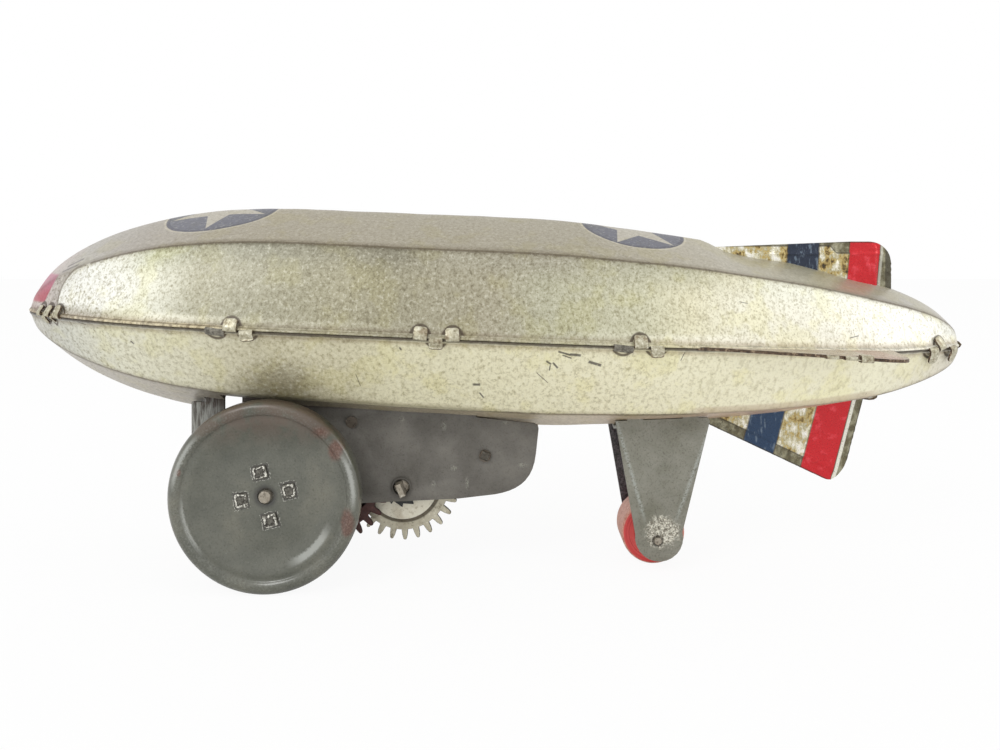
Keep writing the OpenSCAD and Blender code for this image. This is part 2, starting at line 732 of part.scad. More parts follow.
module second_wheel() color([0.3, 0.2, 0.22])
    translate([second_x, 0, second_z]) across(second_wheel_y, pinion_y) difference() {
        rotate(180 + second_angle) wheel_gear(second_teeth);
        circle(r = second_r);
    }

module second_pinion() color([0.72, 0.6, 0.35])
    translate([second_x, 0, second_z]) across(pinion_y, pinion_end_y) difference() {
        rotate(great_angle) pinion_gear();
        circle(r = second_r);
    }

module great_wheel() color([0.74, 0.73, 0.65])
    translate([great_x, 0, great_z]) across(great_y, great_y + gear_thick) difference() {
        rotate(180 + great_angle + 180 / great_teeth) wheel_gear(great_teeth);
        circle(r = arbor_r + running_gap);
        translate(click_pivot - [great_x, great_z]) circle(r = click_pin_r);
    }

module click_disc() color([0.85, 0.82, 0.72])
    translate([great_x, 0, great_z]) across(disc_y, great_y) difference() {
        circle(r = disc_r);
        circle(r = arbor_r + running_gap);
        translate(click_pivot - [great_x, great_z]) circle(r = click_pin_r);
    }

// The click turns on this rivet
module click_rivet() color([0.5, 0.48, 0.42]) {
    bar(click_pivot[0], click_pivot[1], click_pin_r, ratchet_y - 0.2, great_y + gear_thick + 0.2);
    bar(click_pivot[0], click_pivot[1], click_pin_r + 0.5, ratchet_y - 0.2, ratchet_y - 0.05);
    bar(click_pivot[0], click_pivot[1], click_pin_r + 0.5, great_y + gear_thick, great_y + gear_thick + 0.2);
}

// Nose of the click, just clear of the ratchet's tips
click_reach = 48;
click_nose_r = ratchet_tip + click_tip_gap;

click_half = 0.9;
click_eye = 0.65;
click_steps = 6;

module click() color([0.3, 0.3, 0.3]) {
    start = click_angle + 7;
    inner = [for (i = [0 : click_steps])
        let (t = i / click_steps, a = between(start, click_angle + click_reach, t))
        between(click_radius - click_half, click_nose_r, t) * [cos(a), sin(a)]];
    outer = [for (i = [click_steps : -1 : 0])
        let (t = i / click_steps, a = between(start, click_angle + click_reach - 3, t))
        (between(click_radius, click_nose_r, t) + click_half) * [cos(a), sin(a)]];
    difference() {
        union() {
            bar(click_pivot[0], click_pivot[1], click_pin_r + click_eye, ratchet_y, ratchet_y + ratchet_thick);
            translate([great_x, 0, great_z]) across(ratchet_y, ratchet_y + ratchet_thick)
                polygon(concat(inner, outer));
        }
        bar(click_pivot[0], click_pivot[1], click_pin_r + running_gap, ratchet_y - 1, ratchet_y + ratchet_thick + 1);
    }
}

// Leaf spring riveted on the disc, with its free end behind the click's nose
module click_spring() color([0.55, 0.55, 0.5]) {
    anchor_angle = click_angle + 96;
    end_angle = click_angle + 50;
    leaf_r = disc_r - 0.9;
    curve = [for (i = [0 : 6])
        let (a = anchor_angle + (end_angle - anchor_angle) * i / 6) [leaf_r - 0.05 * i, a]];
    translate([great_x, 0, great_z]) across(ratchet_y, disc_y) union() {
        polygon(concat([for (c = curve) (c[0] - 0.15) * [cos(c[1]), sin(c[1])]],
            [for (i = [6 : -1 : 0]) (curve[i][0] + 0.15) * [cos(curve[i][1]), sin(curve[i][1])]]));
        translate(leaf_r * [cos(anchor_angle), sin(anchor_angle)]) circle(r = 0.6);
    }
}

// Winding arbor, with two flats on its near end for a key
winding_turn = 24;

module winding_arbor() color([0.25, 0.24, 0.22]) {
    flats_y = -plate_face - 0.6;
    end_y = -plate_face - arbor_out;
    bar(great_x, great_z, arbor_r, flats_y, plate_face + 0.6);
    translate([great_x, 0, great_z]) across(end_y, flats_y) intersection() {
        circle(r = arbor_r - 0.2);
        rotate(winding_turn) square([winding_flat, 2 * arbor_r], center = true);
    }
}

ratchet_teeth = 12;

module ratchet_wheel() color([0.2, 0.2, 0.2])
    translate([great_x, 0, great_z]) across(ratchet_y, ratchet_y + ratchet_thick) difference() {
        polygon([for (i = [0 : ratchet_teeth - 1]) let (a = 360 * i / ratchet_teeth)
            each [ratchet_tip * [cos(a), sin(a)], (ratchet_tip - ratchet_depth) * [cos(a + 2), sin(a + 2)]]]);
        circle(r = arbor_r);
    }

// Front wheels and axle

module front_axle() color([0.45, 0.43, 0.4])
    bar(axle_x, axle_z, axle_r, -dish_face - 1, dish_face + 1);

// Half section of a wheel: radius, then depth behind the outer face
module wheel_section() {
    s = wheel_sheet;
    roll = 1.85;
    groove = dish_outer + 0.6;
    roll_mid = wheel_radius - roll;
    depth = 0.75;
    outer_roll = [for (a = [150 : -15 : 0]) [roll_mid + roll * cos(a), roll - roll * sin(a)]];
    inner_roll = [for (a = [0 : 15 : 150]) [roll_mid + (roll - s) * cos(a), roll - (roll - s) * sin(a)]];
    polygon(concat([[axle_r, dish_depth], [dish_inner, dish_depth], [dish_outer, depth], [groove, depth + 0.25]],
        outer_roll, [[wheel_radius, wheel_depth], [wheel_radius - s, wheel_depth]], inner_roll,
        [[groove, depth + 0.25 + s], [dish_outer + 0.2, depth + s], [dish_inner + 0.2, dish_depth + s],
            [axle_r, dish_depth + s]]));
}

hub_turn = 12;

// Runs its children at the four tab places of a hub, around the axle
module at_hub_tabs() {
    for (i = [0 : 3]) rotate([0, -hub_turn - 90 * i, 0]) children();
}

hub_tab_thick = 0.5;

// Slot, or the tab's neck that fills it
module hub_neck(slack) {
    translate([hub_tab_circle - hub_tab_long / 2 - slack, -dish_face - 0.01, -hub_tab_wide / 2 - slack])
        cube([hub_tab_thick + 2 * slack, wheel_sheet + 0.02, hub_tab_wide + 2 * slack]);
}

module near_wheel() {
    translate([axle_x, 0, axle_z]) difference() {
        translate([0, -wheel_face, 0]) rotate([-90, 0, 0]) rotate_extrude($fn = 96) wheel_section();
        at_hub_tabs() hub_neck(0.05);
    }
}

// Disc and sleeve behind the wheel, with tabs that go through it and are bent over outside
module near_hub() {
    translate([axle_x, 0, axle_z]) {
        difference() {
            union() {
                bar(0, 0, hub_disc_r, -hub_back, -hub_back + wheel_sheet);
                bar(0, 0, hub_sleeve_r, -hub_back, -plate_face - side_gap);
            }
            bar(0, 0, axle_r, -hub_back - 1, 0);
        }
        at_hub_tabs() {
            hub_neck(0);
            translate([hub_tab_circle - hub_tab_long / 2, -dish_face - hub_tab_thick, -hub_tab_wide / 2])
                cube([hub_tab_long, hub_tab_thick, hub_tab_wide]);
        }
    }
}

module wheel_near() color([0.41, 0.41, 0.37]) near_wheel();

module wheel_far() color([0.41, 0.41, 0.37]) far_side() near_wheel();

module hub_near() color([0.5, 0.48, 0.42]) near_hub();

module hub_far() color([0.5, 0.48, 0.42]) far_side() near_hub();

// Rear bracket and roller

bracket_front = roller_x - 10.9;
bracket_rear = bracket_front + bracket_top;
bracket_tab = 4;

// Outline of a leg: a trapezoid that ends round the axle
module leg_outline() {
    top_gap = 0.45;
    first = 173;
    last = 374;
    arc_steps = 14;
    end_x = roller_x + 0.4;
    end_z = roller_radius + 0.8;
    round_end = [for (i = [0 : arc_steps]) let (t = first + (last - first) * i / arc_steps)
        [end_x + leg_end_r * cos(t), end_z + leg_end_r * sin(t)]];
    difference() {
        polygon(concat([[bracket_front, belly_z(bracket_front, bracket_face) - top_gap]], round_end,
            [[bracket_rear, belly_z(bracket_rear, bracket_face) - top_gap - 0.9],
                [bracket_rear - 0.6, belly_z(bracket_rear, bracket_face) - top_gap]]));
        translate([roller_x, roller_radius]) circle(r = roller_axle_r);
    }
}

// Tabs on the legs' tops that go through slots in the belly
module bracket_tabs(slack) {
    for (side = [-1, 1]) for (x = [bracket_front + 3, bracket_rear - 3 - bracket_tab])
        translate([x - slack, side * (bracket_face - bracket_thick / 2) - bracket_thick / 2 - slack,
            belly_z(x, bracket_face) - 2])
            cube([bracket_tab + 2 * slack, bracket_thick + 2 * slack, 4.4]);
}

module rear_bracket() color([0.5, 0.51, 0.47]) {
    across(-bracket_face, -bracket_face + bracket_thick) leg_outline();
    across(bracket_face - bracket_thick, bracket_face) leg_outline();
    bracket_tabs(0);
    bracket_web();
}

// The web joins the legs and follows the belly's shallow V
module bracket_web() {
    gap = 0.4;
    front = [bracket_front + 1, keel_z(bracket_front + 1)];
    rear = [bracket_rear - 1, keel_z(bracket_rear - 1)];
    side_rise = belly_z(roller_x, bracket_face) - belly_z(roller_x, 0);
    tilt = atan2(rear[1] - front[1], rear[0] - front[0]);
    half = bracket_face - bracket_thick / 2;
    translate([front[0], 0, front[1] - gap]) rotate([90, -tilt, 90])
        linear_extrude(rear[0] - front[0])
            polygon([[0, 0], [half, side_rise - 0.3], [half, side_rise - 0.3 - bracket_thick],
                [0, -bracket_thick], [-half, side_rise - 0.3 - bracket_thick], [-half, side_rise - 0.3]]);
}

module roller_axle() color([0.6, 0.58, 0.54])
    bar(roller_x, roller_radius, roller_axle_r, -bracket_face - 0.6, bracket_face + 0.6);

// Roller with thin bosses that keep it in the middle of the bracket
module rear_roller() color([0.75, 0.3, 0.28]) {
    boss = bracket_face - bracket_thick - side_gap;
    difference() {
        union() {
            bar(roller_x, roller_radius, roller_radius, -roller_wide / 2, roller_wide / 2);
            bar(roller_x, roller_radius, 2.3, -boss, boss);
        }
        bar(roller_x, roller_radius, roller_axle_r + running_gap, -boss - 1, boss + 1);
    }
}

hull_upper();
hull_lower();
fin_top();
fin_bottom();
fin_near();
fin_far();
plate_near();
plate_far();
pillar_rear();
pillar_front();
pillar_top();
mainspring();
front_axle();
axle_pinion();
wheel_near();
wheel_far();
hub_near();
hub_far();
second_arbor();
second_wheel();
second_pinion();
great_wheel();
click_disc();
click_rivet();
click_spring();
winding_arbor();
ratchet_wheel();
click();
rear_bracket();
roller_axle();
rear_roller();
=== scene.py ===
# %% [markdown]
# A pressed-tin airship on wheels. This lesson dresses its construction model: the solids already have
# their true sizes and places, and each visible piece now gets its sheet edges, pressing marks, print and
# wear. Everything is in metres, with the nose toward -X, the near side toward -Y and the ground at Z = 0.

# %% Load the construction model
import math
import bpy
from mathutils import Matrix, Vector, noise


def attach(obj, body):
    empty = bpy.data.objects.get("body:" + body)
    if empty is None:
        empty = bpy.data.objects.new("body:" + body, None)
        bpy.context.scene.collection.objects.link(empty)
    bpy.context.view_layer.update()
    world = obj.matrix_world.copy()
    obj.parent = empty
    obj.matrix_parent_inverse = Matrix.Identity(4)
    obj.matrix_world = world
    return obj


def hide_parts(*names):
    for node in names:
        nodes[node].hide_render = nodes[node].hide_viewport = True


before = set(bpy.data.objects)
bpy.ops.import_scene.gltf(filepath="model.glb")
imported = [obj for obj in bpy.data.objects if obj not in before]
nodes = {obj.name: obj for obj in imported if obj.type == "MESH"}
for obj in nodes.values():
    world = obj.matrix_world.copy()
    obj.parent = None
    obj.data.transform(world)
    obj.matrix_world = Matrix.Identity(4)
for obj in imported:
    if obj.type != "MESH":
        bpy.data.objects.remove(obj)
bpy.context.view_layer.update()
MM = 0.001

# %% [markdown]
# Blender's operators act on whatever is selected, so a few helpers come first. One clears the selection,
# one picks faces or points by a test on their place, and one turns a finished sheet into a piece that
# rides on its body. Choosing by place keeps the script readable when the mesh changes.


# %% Helpers for modelling
def clear():
    if bpy.context.mode != "OBJECT":
        bpy.ops.object.mode_set(mode="OBJECT")
    bpy.ops.object.select_all(action="DESELECT")


def only(piece):
    clear()
    piece.select_set(True)
    bpy.context.view_layer.objects.active = piece


def mm(x, y, z):
    """A place or a step that is given in millimetres."""
    return Vector((x, y, z)) * MM


def moved(x, y, z):
    return Matrix.Translation(mm(x, y, z))


def everywhere(co):
    return True


def wobble(x, y, z, rate, size):
    """Smooth unevenness in mm, with rate as its bumps per mm."""
    return noise.noise(Vector((x, y, z)) * rate) * size


def named(name):
    piece = bpy.context.object
    piece.name = name
    piece.data.name = name
    return piece


def pick(piece, test, kind="FACE"):
    """Opens a piece in edit mode with the faces or points selected that pass the test."""
    only(piece)
    mesh = piece.data
    bpy.context.tool_settings.mesh_select_mode = (kind == "VERT", False, kind == "FACE")
    for parts in (mesh.vertices, mesh.edges, mesh.polygons):
        parts.foreach_set("select", [False] * len(parts))
    if kind == "FACE":
        for face in mesh.polygons:
            face.select = test(face.center / MM, face.normal)
    if kind == "VERT":
        for point in mesh.vertices:
            point.select = test(point.co / MM)
    bpy.ops.object.mode_set(mode="EDIT")


def done_editing():
    bpy.ops.object.mode_set(mode="OBJECT")


def modify(piece, kind, **settings):
    """Adds a modifier with these settings and applies it at once."""
    only(piece)
    modifier = piece.modifiers.new(kind.title(), kind)
    for key, value in settings.items():
        setattr(modifier, key, value)
    bpy.ops.object.modifier_apply(modifier=modifier.name)


def close_up(piece, distance=0.002):
    """Merges points that lie together, and turns all faces outward."""
    pick(piece, everywhere, "VERT")
    bpy.ops.mesh.remove_doubles(threshold=distance * MM)
    bpy.ops.mesh.select_all(action="SELECT")
    bpy.ops.mesh.normals_make_consistent(inside=False)
    done_editing()


def smooth(piece, angle):
    only(piece)
    bpy.ops.object.shade_smooth_by_angle(angle=math.radians(angle))


def finish_piece(piece, body, finishes):
    """Applies a piece's place, gives it its finishes, and lets it ride on a body. A piece that stands for
    a construction solid has that solid's name with one more word."""
    only(piece)
    bpy.ops.object.transform_apply(location=True, rotation=True, scale=True)
    for finish in finishes:
        piece.data.materials.append(finish)
    if len(finishes) == 1:
        piece.data.polygons.foreach_set("material_index", [0] * len(piece.data.polygons))
    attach(piece, body)
    node = piece.name.rsplit("_", 1)[0]
    if node in nodes:
        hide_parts(node)


# %% [markdown]
# A finish is a tree of shader nodes. Written as nodes it is long, so one small class wraps a socket, and
# Python's own operators add the Math nodes. `1 - mask` or `fine * 0.3 + coarse` then reads as arithmetic.


# %% A socket that can be calculated with
class Wire:
    def __init__(self, paint, socket):
        self.paint = paint
        self.socket = socket

    def __add__(self, other):
        return self.paint.math("ADD", self, other)

    def __sub__(self, other):
        return self.paint.math("SUBTRACT", self, other)

    def __rsub__(self, other):
        return self.paint.math("SUBTRACT", other, self)

    def __mul__(self, other):
        return self.paint.math("MULTIPLY", self, other)

    def __truediv__(self, other):
        return self.paint.math("DIVIDE", self, other)

    __radd__ = __add__
    __rmul__ = __mul__


# %% A finish under construction
def tint(red, green, blue):
    """A colour given as on a screen, 0 to 255, as the light values a shader wants."""
    return tuple([(part / 255) ** 2.2 for part in (red, green, blue)] + [1])


class Nodes:
    """A node tree to fill. node() adds any node, sets its settings first, and then fills its sockets."""

    def __init__(self, tree):
        self.tree = tree
        self.tree.nodes.clear()

    def node(self, kind, settings=None, sockets=None, out=0):
        made = self.tree.nodes.new(kind)
        for key, value in (settings or {}).items():
            setattr(made, key, value)
        for key, value in (sockets or {}).items():
            if isinstance(value, Wire):
                self.tree.links.new(value.socket, made.inputs[key])
            else:
                made.inputs[key].default_value = value
        return made if out is None else Wire(self, made.outputs[out])

    def math(self, operation, *values):
        return self.node("ShaderNodeMath", {"operation": operation}, dict(enumerate(values)))


class Paint(Nodes):
    """One material."""

    def __init__(self, name):
        self.material = bpy.data.materials.new(name)
        self.material.use_nodes = True
        super().__init__(self.material.node_tree)
        self.colour = None
        coordinates = self.node("ShaderNodeTexCoord", out="Object")
        self.place = self.node("ShaderNodeVectorMath", {"operation": "SCALE"},
                               {0: coordinates, "Scale": 1 / MM})
        split = self.node("ShaderNodeSeparateXYZ", {}, {0: self.place}, out=None)
        self.x, self.y, self.z = [Wire(self, split.outputs[i]) for i in range(3)]

    def step(self, value, low, high):
        """0 below low, 1 above high, and a soft rise between them. With low above high it falls."""
        return self.node("ShaderNodeMapRange", {"interpolation_type": "SMOOTHSTEP"},
                         {0: value, 1: low, 2: high, 3: 0.0, 4: 1.0})

    def band(self, value, low, high, soft=0.3):
        return self.step(value, low - soft, low + soft) * self.step(value, high + soft, high - soft)

    def away(self, x, z, wide=1, tall=1):
        """Distance from a line along Y, in mm, or in shares of an oval's half width and height."""
        dx = (self.x - x) / wide
        dz = (self.z - z) / tall
        return self.math("SQRT", dx * dx + dz * dz)

    def stretch(self, x, y, z):
        return self.node("ShaderNodeVectorMath", {"operation": "MULTIPLY"}, {0: self.place, 1: (x, y, z)})

    def noise(self, scale, detail=3, rough=0.55, at=None):
        """Cloudy noise. The scale is in blobs per millimetre."""
        return self.node("ShaderNodeTexNoise", {}, {"Vector": at or self.place, "Scale": scale,
                         "Detail": detail, "Roughness": rough})

    def mix(self, share, first, second, blend="MIX"):
        return self.node("ShaderNodeMix", {"data_type": "RGBA", "blend_type": blend},
                         {0: share, 6: first, 7: second}, out=2)

    def shade(self, share, first, second):
        """Multiplies one colour by another, by a share."""
        return self.mix(share, first, second, "MULTIPLY")

    def coat(self, share, *rgb):
        """Lays a colour over the finish so far, by a share."""
        self.colour = self.mix(share, self.colour, tint(*rgb))

    def stain(self, share, *rgb):
        """Multiplies the finish so far by a colour, by a share."""
        self.colour = self.shade(share, self.colour, tint(*rgb))

    def ramp(self, value, *stops):
        """A colour that follows a value. Each stop is a position, then red, green and blue."""
        made = self.node("ShaderNodeValToRGB", {}, {0: value}, out=None)
        stops_in = made.color_ramp.elements
        while len(stops_in) < len(stops):
            stops_in.new(0.5)
        for element, (position, *rgb) in zip(stops_in, stops):
            element.position = position
            element.color = tint(*rgb)
        return Wire(self, made.outputs[0])

    def attribute(self, name):
        return self.node("ShaderNodeAttribute", {"attribute_name": name}, out="Fac")

    def finish(self, rough, shine, *relief, **others):
        """Puts everything on the shader. Each layer of relief is a height from 0 to 1 and its depth in mm.
        Other sockets go by their names, with underscores for spaces."""
        values = {"Base Color": self.colour, "Roughness": rough, "Metallic": shine}
        for height, depth in relief:
            bump = {"Height": height, "Distance": depth * MM, "Strength": 1.0}
            if "Normal" in values:
                bump["Normal"] = values["Normal"]
            values["Normal"] = self.node("ShaderNodeBump", {}, bump)
        for key, value in others.items():
            values[key.replace("_", " ")] = value
        shader = self.node("ShaderNodeBsdfPrincipled", {}, values)
        self.node("ShaderNodeOutputMaterial", {}, {0: shader}, out=None)
        return self.material


# %% [markdown]
# The hull is two tin pressings. Each half could be carved from a solid, but it is really a flat sheet
# pushed over a die, so it is made that way: a fine grid is the flat sheet, and a formula for the die gives
# each of its points a place. The formula is the one the solids use, so the sheet lies exactly on them.

# %% The die's main lines, in millimetres
NOSE, TAIL, LENGTH = -125.9, 125.8, 251.7
SEAM_MID, SEAM_FALL = 62.309, 0.0423
SEAM_HALF, UPPER_CREASE_HALF, LOWER_CREASE_HALF = 28.5, 20.5, 19
CREASE_RISE, RIDGE_RISE, KEEL_DROP = 21.1, 30.3, 26.1
WIDE_CUT, NARROW_CUT = 15.5, 11.4
OPENINGS = [(-75.0, -69.4, NARROW_CUT), (-69.4, -57.0, WIDE_CUT), (-57.0, -4.6, NARROW_CUT)]


def swell(u, taper, nose_full, tail_full):
    """Share of the full section at a distance u from the nose tip."""
    front = 1 - min(1, u / taper)
    rear = 1 - min(1, (LENGTH - u) / 120)
    return (1 - front ** 2.1) ** nose_full * (1 - rear ** 1.6) ** tail_full


def size_share(u):
    return swell(u, 75, 0.6, 0.5)


def ease(value, low, high):
    t = min(1, max(0, (value - low) / (high - low)))
    return t * t * (3 - 2 * t)


def seam_z(x):
    """Height of the seam, which lifts a little at the very tail."""
    return SEAM_MID - SEAM_FALL * x + 0.8 * ease(x, 96, 120)


def seam_y(x):
    return SEAM_HALF * size_share(x - NOSE)


def slot_dip(u):
    """The ridge sinks a little along the slot where the top fin was pushed in."""
    return 2.1 * ease(u, 181, 190) * (1 - 0.4 * ease(u, 197, 206)) * (1 - ease(u, 222, 235))


def corners(u, upper):
    """Seam edge, crease and middle line of a half section, as (half width, height from the seam)."""
    size = size_share(u)
    edge = (SEAM_HALF * size, 0)
    if upper:
        crease = (UPPER_CREASE_HALF * size, CREASE_RISE * swell(u, 75, 0.7, 0.48))
        return edge, crease, (0, RIDGE_RISE * swell(u, 75, 0.56, 0.48) - slot_dip(u))
    keel = swell(u, 65, 0.62, 0.5)
    return edge, (LOWER_CREASE_HALF * size, -(15.5 + 0.024 * u) * keel), (0, -KEEL_DROP * keel)


def middle_z(x, upper):
    """Height of the ridge or the keel."""
    return seam_z(x) + corners(x - NOSE, upper)[2][1]


def between(first, second, t):
    return (first[0] * (1 - t) + second[0] * t, first[1] * (1 - t) + second[1] * t)


print("seam at the middle", seam_z(0), "half width there", seam_y(0))

# %% [markdown]
# A half section runs from the seam to the middle line. It starts with the rolled lip, which grips the
# other half, climbs a slightly bulged panel to the crease, turns there in a small radius, and crosses the
# second panel. Each point also keeps its distance from the seam and from the crease, for the print.

# %% A half section with its lip, crease and bulge
UPPER_LIP = [(0.02, 0.04), (0.3, 0.03), (0.47, 0.13), (0.52, 0.31), (0.45, 0.5), (0.25, 0.64), (0.02, 0.74),
             (-0.2, 0.95)]
LOWER_LIP = [(0.02, -0.1), (0.2, -0.1), (0.27, -0.2), (0.27, -0.42), (0.18, -0.55), (0.0, -0.68),
             (-0.2, -0.9)]
ON_LIP = -99
PANEL_STEPS = [0.1, 0.16, 0.24, 0.33, 0.42, 0.51, 0.6, 0.69, 0.78, 0.86, 0.925, 0.962]
CROWN_STEPS = [0.045, 0.1, 0.18, 0.28, 0.38, 0.48, 0.58, 0.68, 0.78, 0.87, 0.94]


def half_section(u, upper, x):
    edge, crease, middle = corners(u, upper)
    size = size_share(u)
    sign = 1 if upper else -1
    lip = UPPER_LIP if upper else LOWER_LIP
    points = [(max(0, edge[0] + out * min(1, 6 * size)), up * min(1, 5 * size), abs(up), ON_LIP)
              for out, up in lip]
    side = math.dist(edge, crease)
    crown = math.dist(crease, middle)
    for t in PANEL_STEPS:
        w, h = between(edge, crease, t)
        bulge = 4 * t * (1 - t) * size
        points.append((w + 0.5 * bulge, h + sign * 0.3 * bulge, side * t, side * (t - 1)))
    tip = between(between(edge, crease, 0.99), between(crease, middle, 0.012), 0.5)
    points.append((*tip, side, 0))
    steps = list(CROWN_STEPS)
    if not upper and OPENINGS[0][0] - 1 < x < OPENINGS[-1][1] + 1:
        for index, half in ((2, WIDE_CUT), (4, NARROW_CUT)):
            steps[index] = max(0.04, 1 - half / crease[0])
    for t in steps:
        w, h = between(crease, middle, t)
        bulge = 4 * t * (1 - t) * size * (0.4 if upper else 0)
        points.append((w, h + bulge, side + crown * t, crown * t))
    drop = 0.12 if upper else 0.05
    points.append((0, middle[1] - sign * drop * size, side + crown, crown))
    return points


def points_across(upper):
    return 2 * len(half_section(120, upper, 0)) - 1


print("points across the upper half", points_across(True))

# %% [markdown]
# The grid's rows sit closer together toward both tips, where the hull curves fastest. A row is moved onto
# each end of the belly opening's parts, so that the sheet can be cut there along its own edges. The very
# tips are blunted a little, because the tip tabs are hammered against them.


# %% Rows along the hull
def rows(count):
    places = [LENGTH * (1 - math.cos(math.pi * i / count)) / 2 for i in range(count + 1)]
    for cut in (OPENINGS[0][0], OPENINGS[1][0], OPENINGS[2][0], OPENINGS[2][1]):
        nearest = min(range(len(places)), key=lambda i: abs(places[i] - cut + NOSE))
        places[nearest] = cut - NOSE
    return places


def blunted(u):
    return u + 1.2 * math.exp(-u / 2.2) - 1.1 * math.exp((u - LENGTH) / 2.2)


ROWS = rows(150)


def press(name, upper):
    """Adds a flat grid and presses it over the die of one hull half."""
    clear()
    across = points_across(upper)
    bpy.ops.mesh.primitive_grid_add(x_subdivisions=len(ROWS) - 1, y_subdivisions=across - 1, size=1)
    sheet = named(name)
    sections = []
    for u in ROWS:
        half = half_section(min(max(u, 0.02), LENGTH - 0.02), upper, NOSE + u)
        sections.append([(-w, *rest) for w, *rest in half] + half[-2::-1])
    seam = []
    crease = []
    for point in sheet.data.vertices:
        i = round((point.co.x + 0.5) * (len(ROWS) - 1))
        k = round((point.co.y + 0.5) * (across - 1))
        w, h, s, c = sections[i][k]
        x = NOSE + blunted(ROWS[i])
        shake = wobble(x, w, h, 0.055, 0.22) + wobble(x, w, h, 0.17, 0.07)
        push = shake * min(1, s / 4) * size_share(ROWS[i])
        point.co = mm(x, w * (1 + push / 28), seam_z(x) + h * (1 + push / 28))
        seam.append(s)
        crease.append(c)
    kept = {"upper_half": [float(upper)] * len(seam), "seam_mm": seam, "crease_mm": crease}
    for attribute, values in kept.items():
        sheet.data.attributes.new(attribute, "FLOAT", "POINT").data.foreach_set("value", values)
    return sheet


# %% Press both halves
hull_upper = press("hull_upper_sheet", True)
hull_lower = press("hull_lower_sheet", False)


def over_opening(co, normal):
    return normal.z ** 2 > 0.5 and any(low < co.x < high and abs(co.y) < half for low, high, half in OPENINGS)


pick(hull_lower, over_opening)
bpy.ops.mesh.delete(type="FACE")
done_editing()
print("belly opening cut,", len(hull_lower.data.polygons), "faces left")

# %% [markdown]
# A grid has no thickness. The sheet's doubles are merged at the tips, its faces are turned outward, and
# only then does Solidify grow the wall inward, so both of its skins face the right way.

# %% Give the sheets their wall
SHEET = 0.4
for half in (hull_upper, hull_lower):
    close_up(half)
    modify(half, "SOLIDIFY", thickness=SHEET * MM, offset=-1, use_even_offset=False)
    smooth(half, 32)
    print(half.name, len(half.data.vertices), "points")

# %% [markdown]
# The two halves hold together by small tabs: strips of the sheet that come out at the seam and are bent
# over the other half. One is folded as by hand: a plane is cut down to one edge, and that edge is extruded
# along the bend. Its outer corners are then rounded. The copies are turned to the hull's side.


# %% Fold a strip of sheet
def fold_strip(name, wide, path, thick, corner=0.9, edge=0.1):
    """A strip wide along X that follows a path of (out, up) steps. Its cut edges take the second finish."""
    clear()
    bpy.ops.mesh.primitive_plane_add(size=wide * MM, location=mm(0, *path[0]))
    strip = named(name)
    pick(strip, lambda co: co.y > 0, "VERT")
    bpy.ops.mesh.delete(type="VERT")
    done_editing()
    only(strip)
    bpy.ops.object.transform_apply(location=True)
    pick(strip, everywhere, "VERT")
    bpy.ops.transform.translate(value=(0, wide / 2 * MM, 0))
    for here, there in zip(path, path[1:]):
        move = mm(0, there[0] - here[0], there[1] - here[1])
        bpy.ops.mesh.extrude_region_move(TRANSFORM_OT_translate={"value": move})
    done_editing()
    end = strip.data.vertices[-1].co.copy() / MM
    pick(strip, lambda co: abs(co.z - end.z) < 0.01 and abs(co.y - end.y) < 0.01, "VERT")
    bpy.ops.mesh.bevel(affect="VERTICES", offset=corner * MM, segments=4)
    done_editing()
    close_up(strip)
    modify(strip, "SOLIDIFY", thickness=thick * MM, offset=0)
    modify(strip, "BEVEL", width=edge * MM, segments=2, limit_method="ANGLE")
    onward = Vector((0, path[-1][0] - path[-2][0], path[-1][1] - path[-2][1])).normalized()
    for face in strip.data.polygons:
        from_end = math.dist((face.center.y / MM, face.center.z / MM), (end.y, end.z))
        cut = abs(face.normal.x) > 0.3 or (face.normal.dot(onward) > 0.8 and from_end < 0.4)
        face.material_index = 1 if cut else 0
    smooth(strip, 40)
    return strip


def copy_of(piece, name, matrix):
    """A copy with its own mesh, moved by a matrix that is applied to the mesh."""
    twin = piece.copy()
    twin.data = piece.data.copy()
    twin.name = name
    twin.data.name = name
    bpy.context.scene.collection.objects.link(twin)
    twin.data.transform(matrix)
    if matrix.determinant() < 0:
        twin.data.flip_normals()
    return twin


def drop(piece):
    bpy.data.objects.remove(piece)


def hull_place(x, side, up, turn=0.0):
    """Axes of a tab at x: X along the seam, Y outward, and Z up or down."""
    slope = (seam_y(x + 1) - seam_y(x - 1)) / 2
    along = Vector((1, side * slope, -SEAM_FALL)).normalized()
    out = Vector((-slope, side, 0)).normalized()
    rise = Vector((0, 0, up))
    rows_of = [(along[i], out[i], rise[i], 0) for i in range(3)] + [(0, 0, 0, 1)]
    return moved(x, side * seam_y(x), seam_z(x)) @ Matrix(rows_of) @ Matrix.Rotation(turn, 4, "Y")


# %% Seam tabs
SIDES = ((-1, "near"), (1, "far"))
TAB_PATH = [(-0.3, -0.2), (0.55, -0.2), (0.86, 0.0), (0.92, 0.35), (0.8, 0.85), (0.5, 1.35), (0.1, 2.05),
            (-0.28, 2.75)]
LEAF_PATH = [(-0.3, -0.2), (0.5, -0.2), (0.82, 0.05), (0.84, 0.4), (0.65, 0.8), (0.3, 1.15), (0.0, 1.35)]
CURL_PATH = [(-0.3, -0.2), (0.6, -0.2), (1.0, 0.1), (1.1, 0.6), (0.9, 1.2), (0.5, 1.7), (0.55, 2.0),
             (0.8, 2.3)]
tab = fold_strip("tab", 3.4, TAB_PATH, 0.34)
leaf_tab = fold_strip("leaf_tab", 4.8, LEAF_PATH, 0.3, corner=1.3)
curl_tab = fold_strip("curl_tab", 3.2, CURL_PATH, 0.34, corner=1.1)
small_tab = fold_strip("small_tab", 2.3, TAB_PATH, 0.42)
